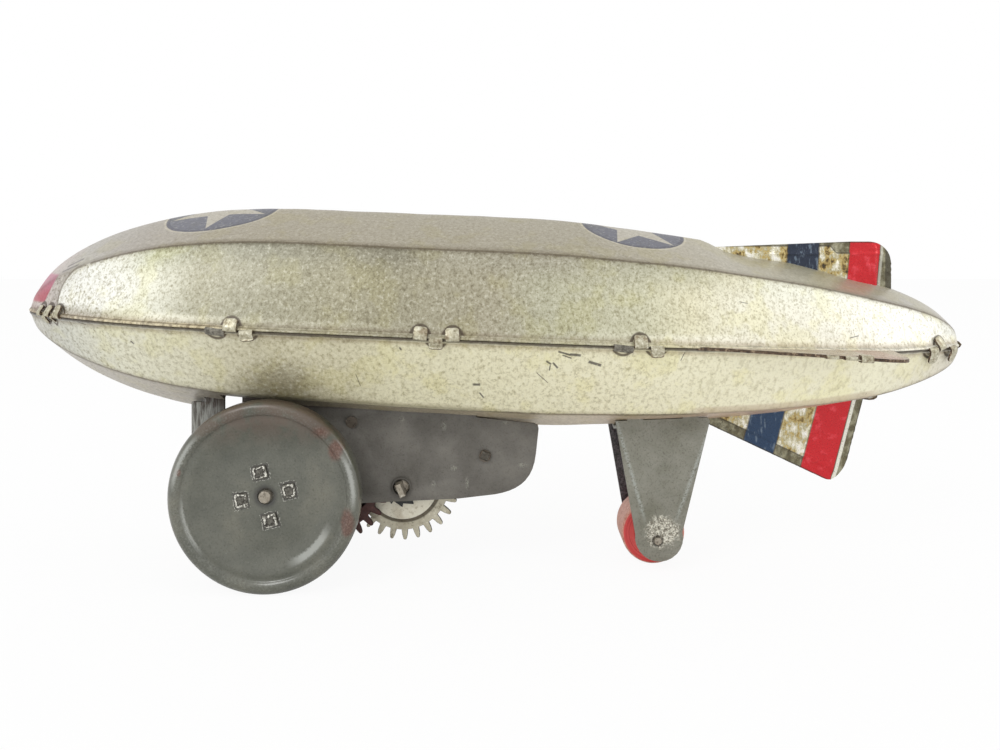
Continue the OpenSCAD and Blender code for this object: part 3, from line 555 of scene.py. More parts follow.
TABS = [(-65.7, -1, leaf_tab), (-62.1, 1, tab), (-58.2, -1, curl_tab), (-17.4, 1, tab), (-13.7, -1, curl_tab),
        (-9.7, 1, tab), (30.6, -1, leaf_tab), (34.8, 1, tab), (38.6, -1, curl_tab)]
seam_tabs = []
for index, (x, up, pattern) in enumerate(TABS):
    for side, side_name in SIDES:
        place = hull_place(x, side, up, 0.09 * math.sin(7.3 * index + side))
        seam_tabs.append(copy_of(pattern, f"seam_tab_{index + 1}_{side_name}", place))
print("seam tabs", len(seam_tabs))

# %% [markdown]
# At both tips the halves end in a cluster of narrower tabs, more crooked than the rest, with one broad
# pinched tab over the very tip. They are copies of a narrower tab, each turned a little.

# %% Tabs at the nose and the tail
CLUSTER = [(NOSE + 10.3, 1, 0.85, -0.1), (NOSE + 13.4, 1, 0.95, 0.08), (NOSE + 16.7, 1, 1.05, -0.05),
           (NOSE + 12.4, -1, 0.75, 0.12), (NOSE + 15.2, -1, 0.5, -0.1),
           (TAIL - 13.6, -1, 1.35, 0.12), (TAIL - 10.6, 1, 1.15, -0.3), (TAIL - 6.6, -1, 1.3, 0.1)]
for index, (x, up, grow, turn) in enumerate(CLUSTER):
    for side, side_name in SIDES:
        place = hull_place(x, side, up, turn) @ Matrix.Diagonal((grow, 1, grow, 1))
        seam_tabs.append(copy_of(small_tab, f"tip_tab_{index + 1}_{side_name}", place))
TIP_PATH = [(-2.6, 1.25), (-1.4, 1.2), (-0.4, 0.75), (0.2, 0.15), (-0.2, -0.5), (-1.2, -0.95), (-2.0, -1.0)]
tip = fold_strip("tip", 2.4, TIP_PATH, 0.34, corner=0.5)
for name, x, turn in (("nose_tip_tab", NOSE + 0.4, math.pi / 2), ("tail_tip_tab", TAIL + 0.3, -math.pi / 2)):
    seam_tabs.append(copy_of(tip, name, moved(x, 0, seam_z(x)) @ Matrix.Rotation(turn, 4, "Z")))
HEEL_X = 100.4
HEEL_PATH = [(-1.0, 0.3), (1.2, 0.0), (2.4, 0.1), (3.1, 0.5), (3.4, 1.1)]
heel = fold_strip("heel", 1.5, HEEL_PATH, 0.4, corner=0.4)
place = moved(HEEL_X, 0, middle_z(HEEL_X, False) - 0.5) @ Matrix.Rotation(-math.pi / 2, 4, "Z")
seam_tabs.append(copy_of(heel, "keel_tab", place))

# %% Clips on the side fins' outer edges
CLIP_PATH = [(-1.3, -0.62), (0.1, -0.62), (0.3, -0.4), (0.3, 0.4), (0.1, 0.62), (-1.5, 0.66)]
clip = fold_strip("clip", 2.7, CLIP_PATH, 0.3, corner=0.6)
CLIPS = [(78.5, 31.25, 1, 0.55), (82.6, 31.85, -1, 0.6), (86.1, 32.2, 1, 1.1)]
for index, (x, half, up, grow) in enumerate(CLIPS):
    for side, side_name in SIDES:
        flat = Matrix(((1, 0, 0, 0), (0, side, 0, 0), (-SEAM_FALL, 0, up, 0), (0, 0, 0, 1)))
        place = moved(x, side * half, seam_z(x)) @ flat @ Matrix.Diagonal((1.1, 1, grow, 1))
        seam_tabs.append(copy_of(clip, f"fin_clip_{index + 1}_{side_name}", place))
for pattern in (tab, leaf_tab, curl_tab, small_tab, tip, heel, clip):
    drop(pattern)
print("tabs in all", len(seam_tabs))

# %% [markdown]
# Each fin is one sheet with a raised inner panel and ribs pressed into it. It is pressed like the hull:
# a grid is laid over the fin's outline, with one direction running from the root to the outer edge, and
# the relief formula pushes its points sideways. Solidify then gives the far side the same marks inverted.


# %% Press a fin sheet
def fin_sheet(name, outline, relief, columns, lines, thick=0.5):
    """outline(p) gives the root and outer points of column p, and relief(a, b) the push in mm."""
    clear()
    bpy.ops.mesh.primitive_grid_add(x_subdivisions=columns, y_subdivisions=lines, size=1)
    sheet = named(name)
    ends = [outline(i / columns) for i in range(columns + 1)]
    for point in sheet.data.vertices:
        p, q = point.co.x + 0.5, point.co.y + 0.5
        root, edge = ends[round(p * columns)]
        spread = 1 - (1 - q) ** 1.3
        a, b = between(root, edge, spread)
        point.co = mm(a, relief(a, b), b)
    close_up(sheet)
    modify(sheet, "SOLIDIFY", thickness=thick * MM, offset=0, use_even_offset=False)
    for face in sheet.data.polygons:
        face.material_index = 1 if abs(face.normal.y) < 0.4 else 0
    smooth(sheet, 50)
    return sheet


def rib(value, middle, wide):
    return math.exp(-((value - middle) / wide) ** 2)


# %% Top fin
TOP_REAR, TOP_FRONT, TOP_EDGE = 107.8, 59.0, 85.78


def top_outline(p):
    x = TOP_FRONT + (TOP_REAR - TOP_FRONT) * p
    edge = TOP_EDGE - 1.5 * max(0, 1 - (x - TOP_FRONT) / 37.8)
    over = x - (TOP_REAR - 6)
    if over > 0:
        edge = TOP_EDGE - 6 + math.sqrt(max(0, 36 - over * over))
    return (x, middle_z(x, True) - 2), (x, edge)


def top_relief(x, z):
    panel = ease(TOP_EDGE - z, 2.9, 3.5) * ease(TOP_REAR - x, 4.1, 4.8)
    ribs = 0.3 * rib(x, 75.4, 0.5) + 0.35 * rib(x, 92.4, 0.45) + 0.35 * rib(x, 103.2, 0.5)
    ribs += 0.25 * rib(TOP_EDGE - z, 3.2, 0.35) * ease(x, 74, 77)
    hammering = wobble(x, 0, z, 0.8, 0.06)
    return -0.3 * panel * ease(x, 62, 66) - ribs * ease(TOP_EDGE - z, 0.6, 2) + hammering


fin_top = fin_sheet("fin_top_sheet", top_outline, top_relief, 150, 44)

# %% Bottom fin
LOW_REAR, LOW_FRONT, LOW_TIP, LEAN, LEAN_LEVEL = 100.8, 57.5, 20.5, 0.262, 36


def low_edge_z(x):
    """Lower edge, a straight line that ends in the round tip."""
    start = middle_z(LOW_FRONT, False) - 1
    return start + (LOW_TIP + 0.4 - start) * (x - LOW_FRONT) / (90.5 - LOW_FRONT)


def low_outline(p):
    x = LOW_FRONT + (LOW_REAR - LOW_FRONT) * p
    root = (x, middle_z(x, False) + 2)
    z = root[1]
    while z > LOW_TIP and z > low_edge_z(x - LEAN * (root[1] - z)):
        z -= 0.05
    over = min(1, max(0, (x - LOW_REAR + 5.4) / 5.4))
    z = z + 6.4 * (1 - math.sqrt(1 - over * over))
    return root, (x - LEAN * (root[1] - z), z)


def low_relief(x, z):
    lean = x - LEAN * (z - LEAN_LEVEL)
    outer = z - low_edge_z(x)
    panel = ease(outer, 2.8, 3.6) * ease(LOW_REAR - 1.2 - lean, 4.2, 5.0)
    ribs = 0.4 * rib(lean, 84.8, 0.6) + 0.45 * rib(lean, 95.6, 0.6) + 0.3 * rib(lean, 66.2, 0.5)
    hammering = wobble(x, 3, z, 0.7, 0.07)
    return -0.3 * panel - ribs * ease(outer, 1.2, 3.4) * ease(lean, 60, 64) + hammering


fin_bottom = fin_sheet("fin_bottom_sheet", low_outline, low_relief, 130, 56)

# %% [markdown]
# The side fins lie in the seam between the halves. They are pressed flat in the same way, then laid over
# so that the sheet's upright direction points away from the hull, and mirrored for the far side.

# %% Side fins
SIDE_REAR, SIDE_FRONT, SPAN = 100.3, 47.3, 33.0


def side_outline(p):
    x = SIDE_FRONT + (SIDE_REAR - SIDE_FRONT) * p
    start = seam_y(SIDE_FRONT)
    edge = start + (SPAN - start) * min(1, (x - SIDE_FRONT) / 44)
    over = x - (SIDE_REAR - 7.4)
    if over > 0:
        edge = SPAN - 4.2 + math.sqrt(max(0, 17.6 - min(over, 4.2) ** 2))
        edge = edge - ease(x, SIDE_REAR - 4.0, SIDE_REAR) * (edge - seam_y(x))
    return (x, seam_y(x) - 2), (x, max(edge, seam_y(x)))


def side_relief(x, out):
    panel = ease(out - seam_y(x), 0.4, 1.4) * ease(SPAN - out, 1.2, 2.2)
    return 0.12 * panel + 0.22 * rib(x, 84.2, 0.5) + wobble(x, out, 9, 0.6, 0.05)


fin_near = fin_sheet("fin_near_sheet", side_outline, side_relief, 110, 30, thick=0.75)
fin_far = copy_of(fin_near, "fin_far_sheet", Matrix.Identity(4))
for fin, side in ((fin_near, -1), (fin_far, 1)):
    for point in fin.data.vertices:
        x, push, out = point.co / MM
        point.co = mm(x, side * out, seam_z(x) + push)
    close_up(fin, 0.0005)
    print(fin.name, len(fin.data.vertices), "points")

# %% [markdown]
# Turned and spun pieces are made on a lathe. A single point is extruded along the profile, and the
# operator Spin turns that line once round the axle. A wheel of thin sheet is an open line that gets its
# thickness afterwards, and a solid piece such as the roller is a closed line.


# %% A lathe
def lathe(name, profile, centre, steps):
    """Turns (radius, y) points round an axle along Y. centre is the axle's (x, z)."""
    clear()
    start = mm(centre[0] + profile[0][0], profile[0][1], centre[1])
    bpy.ops.mesh.primitive_plane_add(size=MM, location=start)
    piece = named(name)
    only(piece)
    bpy.ops.object.transform_apply(location=True)
    pick(piece, everywhere, "VERT")
    bpy.ops.mesh.merge(type="CENTER")
    for here, there in zip(profile, profile[1:]):
        move = mm(there[0] - here[0], there[1] - here[1], 0)
        bpy.ops.mesh.extrude_region_move(TRANSFORM_OT_translate={"value": move})
    bpy.ops.mesh.select_all(action="SELECT")
    axle = mm(centre[0], 0, centre[1])
    bpy.ops.mesh.spin(steps=steps, angle=2 * math.pi, center=axle, axis=(0, 1, 0))
    done_editing()
    close_up(piece, 0.004)
    return piece


def face_toward(piece, direction):
    """Turns an open sheet over if most of its area looks away from a direction."""
    total = sum(face.normal.dot(direction) * face.area for face in piece.data.polygons)
    if total < 0:
        piece.data.flip_normals()


def join(name, *pieces):
    only(pieces[0])
    for other in pieces[1:]:
        other.select_set(True)
    bpy.ops.object.join()
    return named(name)


# %% [markdown]
# A front wheel is spun from one disc of tin: a flat middle, a gentle slope up to a sharp step, a groove,
# and a rolled rim that turns back over the tread. The profile below lists its front skin from the axle
# hole to the back of the rim, as radius and depth behind the front face.

# %% Front wheels
AXLE = (-56.0, 23.5)
WHEEL_FACE, WHEEL_SHEET = -24, 0.45
RIM, RIM_ROLL = 21.65, 1.85
WHEEL_SKIN = [(2.0, 2.66), (2.3, 2.6), (6, 2.56), (11, 2.6), (13, 2.58), (14.2, 2.42), (15.4, 2.06),
              (16.4, 1.68), (17.2, 1.34), (17.9, 1.06), (18.5, 0.9), (19.0, 0.87), (19.4, 0.93), (19.7, 0.96),
              (19.95, 0.88)]
WHEEL_SKIN += [(RIM + RIM_ROLL * math.cos(math.radians(a)), RIM_ROLL - RIM_ROLL * math.sin(math.radians(a)))
               for a in range(148, -1, -10)]
WHEEL_SKIN += [(23.5, 2.6), (23.5, 3.6), (23.42, 4.4)]
wheel_near = lathe("wheel_near_sheet", [(r, WHEEL_FACE + depth) for r, depth in WHEEL_SKIN], AXLE, 128)
face_toward(wheel_near, Vector((0, -1, 0)))
modify(wheel_near, "SOLIDIFY", thickness=WHEEL_SHEET * MM, offset=-1, use_even_offset=False)
smooth(wheel_near, 50)
wheel_far = copy_of(wheel_near, "wheel_far_sheet", Matrix.Diagonal((1, -1, 1, 1)))
print("wheel points", len(wheel_near.data.vertices))

# %% [markdown]
# The hub is a disc with a sleeve behind the wheel. Four tabs cut from the disc come through slots and are
# hammered flat on the wheel's face, so they are folded like the seam tabs, with square, chipped ends.

# %% Hubs
HUB_SKIN = [(1.5, -20.8), (9, -20.8), (9, -20.25), (2.8, -20.2), (2.8, -11.05), (1.5, -11.05), (1.5, -20.8)]
HUB_PATH = [(-0.75, -0.5), (-0.7, 0.1), (-0.4, 0.36), (0.3, 0.42), (1.2, 0.34), (2.2, 0.2)]
hub_near = lathe("hub_disc", HUB_SKIN, AXLE, 64)
hub_tab = fold_strip("hub_tab", 3.4, HUB_PATH, 0.42, corner=0.5, edge=0.16)
hub_tabs = []
TAB_ANGLES = (102, 14, 190, 282)
TAB_RADIUS, TAB_Y = 5.3, -21.42
for index, angle in enumerate(TAB_ANGLES):
    a = math.radians(angle)
    twist = 0.1 * math.sin(5 * index)
    centre = moved(AXLE[0] + TAB_RADIUS * math.cos(a), TAB_Y, AXLE[1] + TAB_RADIUS * math.sin(a))
    outward = Vector((math.cos(a + twist), 0, math.sin(a + twist)))
    across = Vector((0, -1, 0)).cross(outward)
    turn = Matrix([(-across[i], outward[i], (0, -1, 0)[i], 0) for i in range(3)] + [(0, 0, 0, 1)])
    hub_tabs.append(copy_of(hub_tab, f"hub_tab_{index}", centre @ turn))
drop(hub_tab)
hub_near.data.polygons.foreach_set("material_index", [0] * len(hub_near.data.polygons))
hub_near = join("hub_near_turned", hub_near, *hub_tabs)
smooth(hub_near, 35)
hub_far = copy_of(hub_near, "hub_far_turned", Matrix.Diagonal((1, -1, 1, 1)))

# %% [markdown]
# The roller is turned from wood with slightly rounded corners, a thin boss on each side and a bore. Its
# profile is a closed line, so the lathe gives a closed solid.

# %% Rear roller
ROLLER = (42.2, 8.4)
half_roller = [(1.02, -9.6), (2.3, -9.6), (2.3, -5.12), (3, -5.0), (7.3, -5.0), (7.75, -4.93), (8.1, -4.75),
               (8.3, -4.45), (8.38, -4.1), (8.4, -3.6), (8.4, -2), (8.4, 0)]
roller_skin = half_roller + [(r, -y) for r, y in half_roller[-2::-1]] + [half_roller[0]]
roller = lathe("rear_roller_turned", roller_skin, ROLLER, 96)
smooth(roller, 35)

# %% [markdown]
# Stamped parts such as plates, gears and the bracket already have their true outline in the construction
# solids, but with edges sharper than any real sheet. A merged copy of each solid gets a fine bevel, which
# catches the light along its edges, and its cut sides may take a darker finish than its faces, as painted
# shade.


# %% Soften a stamped part
def soften(node, width, segments=2, sides=0.0):
    """A copy of a CAD node with its edges rounded. Sides flatter than this along Y take the second finish."""
    piece = bpy.data.objects.new(node + "_sheet", nodes[node].data.copy())
    bpy.context.scene.collection.objects.link(piece)
    piece.data.name = piece.name
    only(piece)
    bpy.ops.mesh.customdata_custom_splitnormals_clear()
    close_up(piece, 0.004)
    pick(piece, everywhere, "VERT")
    bpy.ops.mesh.dissolve_limited(angle_limit=math.radians(1.5))
    done_editing()
    modify(piece, "BEVEL", width=width * MM, segments=segments, limit_method="ANGLE",
           angle_limit=math.radians(32), use_clamp_overlap=True)
    piece.data.materials.clear()
    for face in piece.data.polygons:
        face.material_index = 1 if abs(face.normal.y) < sides else 0
    smooth(piece, 34)
    return piece


plate_near = soften("plate_near", 0.14)
plate_far = soften("plate_far", 0.14)
bracket = soften("rear_bracket", 0.16)
great_wheel = soften("great_wheel", 0.27, sides=0.97)
second_wheel = soften("second_wheel", 0.16, sides=0.8)
click_disc = soften("click_disc", 0.1, sides=0.6)
ratchet = soften("ratchet_wheel", 0.08)
front_axle = soften("front_axle", 0.3, 3)
roller_axle = soften("roller_axle", 0.25, 3)
print("great wheel faces", len(great_wheel.data.polygons))

# %% [markdown]
# The winding arbor ends in a flattened blade, which stands in the plate's round hole with a dark gap
# round it. The round part is turned and stops inside the hole, and the blade is a box with hammered,
# rounded corners. A raised burr runs round the hole in the plate.

# %% Winding arbor and the hole's burr
WINDING = (-24.106, 22.207)
shaft = lathe("shaft", [(0, -10.1), (1.5, -10.1), (1.95, -9.8), (1.95, 11.4), (0, 11.4)], WINDING, 48)
clear()
bpy.ops.mesh.primitive_cube_add(size=MM, location=mm(WINDING[0], -11.7, WINDING[1]),
                                rotation=(0, math.radians(-24), 0), scale=(1.5, 3.6, 3.5))
blade = named("blade")
bpy.ops.object.transform_apply(location=True, rotation=True, scale=True)
pick(blade, everywhere, "VERT")
bpy.ops.mesh.subdivide(number_cuts=5)
done_editing()
modify(blade, "BEVEL", width=0.25 * MM, segments=3, limit_method="ANGLE")
for point in blade.data.vertices:
    point.co += point.normal * noise.noise(point.co / MM * 1.9) * 0.16 * MM
smooth(blade, 40)
smooth(shaft, 40)
winding = join("winding_arbor_turned", shaft, blade)
clear()
bpy.ops.mesh.primitive_torus_add(location=mm(WINDING[0], -10.8, WINDING[1]), major_segments=64,
                                 rotation=(math.pi / 2, 0, 0), minor_segments=10,
                                 major_radius=2.4 * MM, minor_radius=0.34 * MM)
burr = named("winding_burr")
bpy.ops.object.transform_apply(location=True, rotation=True, scale=True)
pick(burr, lambda co: co.z < WINDING[1] - 0.6, "VERT")
bpy.ops.transform.translate(value=(0, 0.28 * MM, 0))
done_editing()
smooth(burr, 60)

# %% [markdown]
# Near the plate's rear a small dark lug is bent over: it is the hooked end of the rear pillar. It is a
# short folded strip on the plate's face. The mainspring that hooks on that pillar is softened like a plate.

# %% The rear pillar's hooked lug and the mainspring
LUG_PATH = [(-0.9, -0.6), (-0.9, 0.35), (-0.5, 0.75), (0.4, 0.8), (1.0, 0.55), (1.2, 0.1)]
lug_pattern = fold_strip("lug_pattern", 2.3, LUG_PATH, 0.4, corner=0.3)
lug_turn = Matrix(((0.94, 0.34, 0, 0), (0, 0, -1, 0), (-0.34, 0.94, 0, 0), (0, 0, 0, 1)))
lug = copy_of(lug_pattern, "pillar_lug", moved(-2.5, -10.9, 30.5) @ lug_turn)
drop(lug_pattern)
close_up(lug)
mainspring = soften("mainspring", 0.09)

# %% [markdown]
# Lithographed tin is a metal sheet with a thin translucent varnish print, so it is champagne coloured,
# slightly glossy, finely speckled and brushed. Its colour drifts along the hull, and the drift also
# carries painted light: painted highlights near the nose and the tail, and painted shade on the crown,
# the middle of the sides and the belly over the wheel. Every line of the print follows the sheet, so it
# reads the two distances kept while pressing, and places along the hull in mm.


# %% Helpers for print and wear
def along(paint, *stops):
    """A colour that drifts along the hull. Each stop is x in mm, then red, green and blue."""
    return paint.ramp((paint.x - NOSE) / LENGTH, *[((x - NOSE) / LENGTH, *rgb) for x, *rgb in stops])


def share_along(paint, *stops):
    """A share that drifts along the hull. Each stop is x in mm and a grey, 0 to 255."""
    return along(paint, *[(x, grey, grey, grey) for x, grey in stops])


def beside(paint, start, end):
    """For a straight line between two (x, z) points: the distance along it and off it, and its length."""
    span = math.dist(start, end)
    ux, uz = (end[0] - start[0]) / span, (end[1] - start[1]) / span
    dx = paint.x - start[0]
    dz = paint.z - start[1]
    return dx * ux + dz * uz, paint.math("ABSOLUTE", dx * uz - dz * ux), span


def line_mark(paint, start, end, wide):
    """Mask of a straight scratch on the near side."""
    on, off, span = beside(paint, start, end)
    return paint.step(off, wide, wide * 0.5) * paint.band(on, 0, span, 0.2) * paint.step(paint.y, -2, -4)


def spot(paint, x, z, wide, tall, soft=0.5):
    """Mask of a soft oval on the near side, with a ragged edge."""
    away = paint.away(x, z, wide, tall) + (paint.noise(0.6, 4, 0.65) - 0.5) * soft
    return paint.step(away, 1, 1 - soft) * paint.step(paint.y, -0.5, -2)


def roundel(paint, x, half_long, half_wide, turn, reach):
    """Masks of a disc on the crown, its rim, a halo, and the star in it, whose points reach a share."""
    dx = paint.x - x
    dy = paint.y * (half_long / half_wide)
    away = paint.math("SQRT", dx * dx + dy * dy)
    angle = paint.math("ARCTAN2", dy, dx) - math.radians(turn)
    fold = paint.math("PINGPONG", angle + 4 * math.pi, math.pi / 5)
    slant = math.radians(18)
    over = (away * paint.math("COSINE", fold) - half_long * reach) * math.sin(slant)
    over = over + away * paint.math("SINE", fold) * math.cos(slant)
    top = paint.step(paint.attribute("crease_mm"), 0.2, 0.5) * paint.step(paint.z, 62, 66)
    disc = paint.step(away, half_long + 0.1, half_long - 0.1)
    rim = paint.band(away, half_long - 0.9, half_long + 0.1, 0.15)
    halo = paint.band(away, half_long + 0.1, half_long + 0.7, 0.15)
    return [mask * top for mask in (disc, rim, halo, paint.step(over, 0.12, -0.12))]


# %% The hull's colours along its length, with painted highlights and shade
hull = Paint("printed_champagne_tin")
from_seam = hull.attribute("seam_mm")
from_crease = hull.attribute("crease_mm")
is_upper = hull.step(hull.attribute("upper_half"), 0.4, 0.6)
is_lower = 1 - is_upper
# The ramps below are partly the tin's own tone and partly painted light: the bright sides near the nose and
# the tail are painted highlights, and the darker crown, the darker middle of the sides and the dark belly
# over the wheel are painted shade.
crown = along(hull, (-122, 196, 180, 176), (-108, 179, 175, 167), (-92, 166, 159, 149), (-60, 161, 153, 134),
              (24, 162, 155, 136), (42, 172, 165, 147), (60, 178, 172, 156), (84, 170, 165, 142),
              (96, 166, 159, 143), (108, 182, 178, 167), (120, 188, 183, 174))
side_high = along(hull, (-112, 214, 212, 204), (-102, 246, 247, 240), (-94, 242, 242, 230),
                  (-84, 190, 192, 164), (-72, 152, 150, 130), (-58, 136, 134, 116), (-36, 145, 141, 121),
                  (-24, 134, 130, 112), (-12, 162, 157, 138), (12, 163, 158, 140), (36, 183, 181, 158),
                  (48, 194, 192, 166), (60, 224, 220, 192), (70, 240, 240, 222), (110, 238, 238, 228))
side_mid = along(hull, (-112, 246, 246, 240), (-94, 248, 248, 240), (-84, 230, 230, 214),
                 (-72, 168, 165, 143), (-60, 158, 155, 134), (-36, 160, 155, 130), (-24, 156, 151, 128),
                 (0, 168, 162, 140), (12, 180, 178, 154), (36, 204, 202, 174), (48, 228, 223, 192),
                 (60, 242, 239, 218), (100, 248, 247, 236))
low_panel = along(hull, (-120, 194, 192, 182), (-108, 204, 204, 192), (-92, 224, 222, 200),
                  (-72, 216, 212, 186), (-58, 198, 192, 164), (-36, 204, 198, 168), (-24, 221, 216, 184),
                  (24, 234, 229, 198), (72, 247, 243, 213), (96, 248, 245, 216), (120, 218, 212, 194))
belly = along(hull, (-118, 186, 180, 168), (-84, 180, 171, 156), (-66, 132, 124, 110), (-40, 150, 140, 120),
              (20, 200, 186, 160), (70, 204, 174, 152), (110, 196, 184, 166))
# Painted highlight: a bright band just above the seam on the upper half's sides.
seam_highlight_share = share_along(hull, (-112, 190), (-92, 190), (-80, 188), (-66, 150), (-52, 110), (-10, 60), (24, 90),
                   (40, 170), (52, 225), (110, 215))
seam_highlight_tint = along(hull, (-104, 158, 150, 126), (-92, 190, 184, 160), (-82, 250, 247, 226),
                  (60, 255, 252, 234))
side = hull.mix(hull.step(from_crease, -9, -0.8), side_mid, side_high)
side = hull.mix(hull.band(from_seam, 1.0, 3.0, 0.8) * seam_highlight_share, side, seam_highlight_tint)
round_nose = hull.away(-103, 71.5, 7.6, 8.6)
cap = hull.step(round_nose, 0.97, 1.03) * hull.step(hull.x, -102.5, -104.5)
upper = hull.mix(hull.math("MAXIMUM", cap, hull.step(from_crease, -0.35, 0.25)), side, crown)
shift = hull.band(hull.x, -66, -2, 8) * 2.6
lower = hull.mix(hull.step(from_crease - shift, -0.3, 0.5), low_panel, belly)
hull.colour = hull.mix(is_upper, lower, upper)
# Painted shade: a darker patch on the lower half, just above the front wheel.
hull.stain(spot(hull, -52, 50.5, 14, 10, 0.8) * 0.6 * is_lower, 128, 120, 98)
print("hull colours set along", LENGTH, "mm")

# %% [markdown]
# The star roundels on the crown are dark discs with pale stars. The nose carries a faded red patch under
# two fine dark lines. These marks are masks over the tin's colour, worn by the same fine speckle.

# %% Marks printed on the hull, and its speckle
ROUNDELS = [(-73.6, 14.7, 13.2, -93, 0.9), (37.4, 13.7, 11.8, -115, 0.97)]
NOSE_LINES = [((-112.4, 77.9), (-107.2, 79.9)), ((-111.8, 79.15), (-107.0, 81.34))]
speckle = hull.noise(1.15, 4, 0.68)
flecks = hull.noise(0.75, 5, 0.8)
grain = hull.noise(0.8, 3, 0.6, at=hull.stretch(1.2, 1.0, 0.55))
crazing = hull.noise(1.9, 3, 0.6, at=hull.stretch(1.1, 1.0, 0.9))
clouds = hull.noise(0.045, 3, 0.5)
blotches = hull.noise(0.1, 3, 0.6)
worn = hull.step(flecks, 0.3, 0.36)
for roundel_place in ROUNDELS:
    disc, rim, halo, star = roundel(hull, *roundel_place)
    hull.coat(halo * 0.5, 205, 198, 178)
    hull.coat(disc * worn * 0.96, 90, 92, 106)
    hull.coat(rim * worn * 0.7, 66, 66, 80)
    hull.coat(star * disc, 182, 176, 162)
for start, end in NOSE_LINES:
    hull.coat(line_mark(hull, start, end, 0.34) * 0.75, 96, 88, 88)
hull.stain(hull.step(blotches, 0.5, 0.62) * 0.5, 252, 250, 222)
mark_share = share_along(hull, (-118, 240), (-98, 226), (-84, 190), (24, 186), (60, 166), (84, 112), (110, 96))
calm = 1 - hull.step(from_crease, 0, 0.6) * is_upper * 0.4
hull.stain(hull.step(grain, 0.5, 0.36) * calm * 0.32, 186, 180, 156)
hull.stain(hull.step(speckle, 0.5, 0.32) * mark_share * calm, 164, 156, 128)
hull.coat(hull.step(speckle, 0.52, 0.68) * calm * 0.28, 246, 244, 226)
hull.stain(hull.step(crazing, 0.49, 0.35) * calm * (is_upper * 0.4 + 0.12), 170, 162, 134)
hull.stain(hull.step(flecks, 0.36, 0.27) * mark_share, 126, 112, 84)
patch_edge = hull.x - (hull.z - 70.4) * 0.39
red_nose = hull.step(patch_edge, -115.4, -116.0) * hull.band(hull.z, 70.2, 77.2, 0.4) * is_upper
faded = hull.mix(hull.step(hull.z + blotches * 6, 75, 79), tint(170, 36, 70), tint(178, 92, 122))
faded = hull.shade(hull.step(speckle, 0.5, 0.36) * 0.5, faded, tint(206, 150, 160))
hull.colour = hull.mix(red_nose * hull.step(flecks, 0.26, 0.36) * 0.85, hull.colour, faded)

# %% [markdown]
# The seam, the creases and the bent tabs are painted darker. The lower half's lip under the rolled lip,
# a band beside the seam and a band along each crease carry painted shade, and a band round each bent tab
# carries painted shadow and grime. A thin dark line runs along the lip, the creases and the nose cap's
# edge, with chips of lost print. The lip itself has lost its varnish to handling and turned tan. A few
# scratches show dark.

# %% Painted shade, tab grime, bare lips and scratches
SCRATCHES = [(15.2, 59.8, 18.2, 58.9, 0.3), (18.0, 59.1, 20.6, 58.8, 0.4), (16.2, 58.9, 18.4, 58.1, 0.2),
             (22.5, 57.2, 25.6, 56.2, 0.45), (12.4, 57.4, 13.6, 56.6, 0.3), (14.0, 57.0, 15.2, 55.6, 0.3),
             (10.2, 54.4, 12.9, 51.8, 0.12), (13.4, 56.4, 13.2, 55.0, 0.2), (-5.2, 51.2, -3.4, 51.2, 0.4),
             (-3.6, 49.0, -2.6, 47.6, 0.25), (-22.4, 60.8, -22.0, 60.1, 0.25), (88.4, 61.8, 91.0, 62.3, 0.14),
             (-33.4, 53.8, -32.6, 50.6, 0.1), (60.2, 71.0, 62.4, 70.6, 0.1), (45.6, 59.4, 44.8, 57.2, 0.12),
             (-103.2, 66.0, -100.6, 65.4, 0.12), (-88.6, 61.6, -87.8, 60.9, 0.25)]
ragged = (hull.noise(0.5, 4, 0.7) - 0.5) * 1.6
lip = hull.step(from_crease, -90, -97)
off_lip = 1 - lip
lip_share = share_along(hull, (-118, 230), (-70, 220), (-50, 90), (-20, 60), (30, 130), (60, 170), (100, 150))
bare_lip = hull.mix(hull.step(grain, 0.4, 0.6), tint(132, 114, 84), tint(206, 190, 152))
hull.colour = hull.mix(lip * is_upper * lip_share, hull.colour, bare_lip)
lip_line = hull.band(from_seam + ragged * 0.1, 0.66, 0.95, 0.1) * lip * is_upper
hull.coat(lip_line * lip_share * 0.8, 84, 72, 50)
# Painted shade: the lower half's lip, tucked under the rolled lip, is painted almost black.
hull.coat(hull.step(from_seam + ragged * 0.4, 1.2, 0.3) * is_lower * 0.9, 54, 40, 31)
# Painted shade: a darker band beside the seam.
near_seam = hull.step(from_seam + ragged, 2.6, 0.6) * off_lip
hull.stain(near_seam * 0.55, 150, 124, 96)
fold_side = hull.math("ABSOLUTE", from_crease - shift * is_lower) + cap * is_upper * 9
cap_line = hull.band(round_nose + ragged * 0.02, 0.97, 1.04, 0.03) * hull.step(hull.x, -104, -106) * is_upper
crease_line = hull.step(fold_side + ragged * 0.16, 0.55, 0.15) * off_lip
hull.coat(hull.math("MAXIMUM", crease_line, cap_line) * 0.68, 98, 86, 66)
chips = hull.step(fold_side + ragged * 0.4, 1.1, 0.5) * hull.step(flecks, 0.52, 0.6) * off_lip
hull.coat(chips * 0.5, 94, 84, 64)
# Painted shade: a darker band along each crease.
hull.stain(hull.band(from_crease + ragged * 0.35, -1.0, 1.6, 0.8) * 0.34, 158, 144, 118)
tan_edge = hull.band(hull.x, 50, 98, 3) * is_lower * hull.band(from_crease + ragged * 0.3, -2.2, 0.6, 0.5)
hull.coat(tan_edge * 0.5, 186, 164, 138)
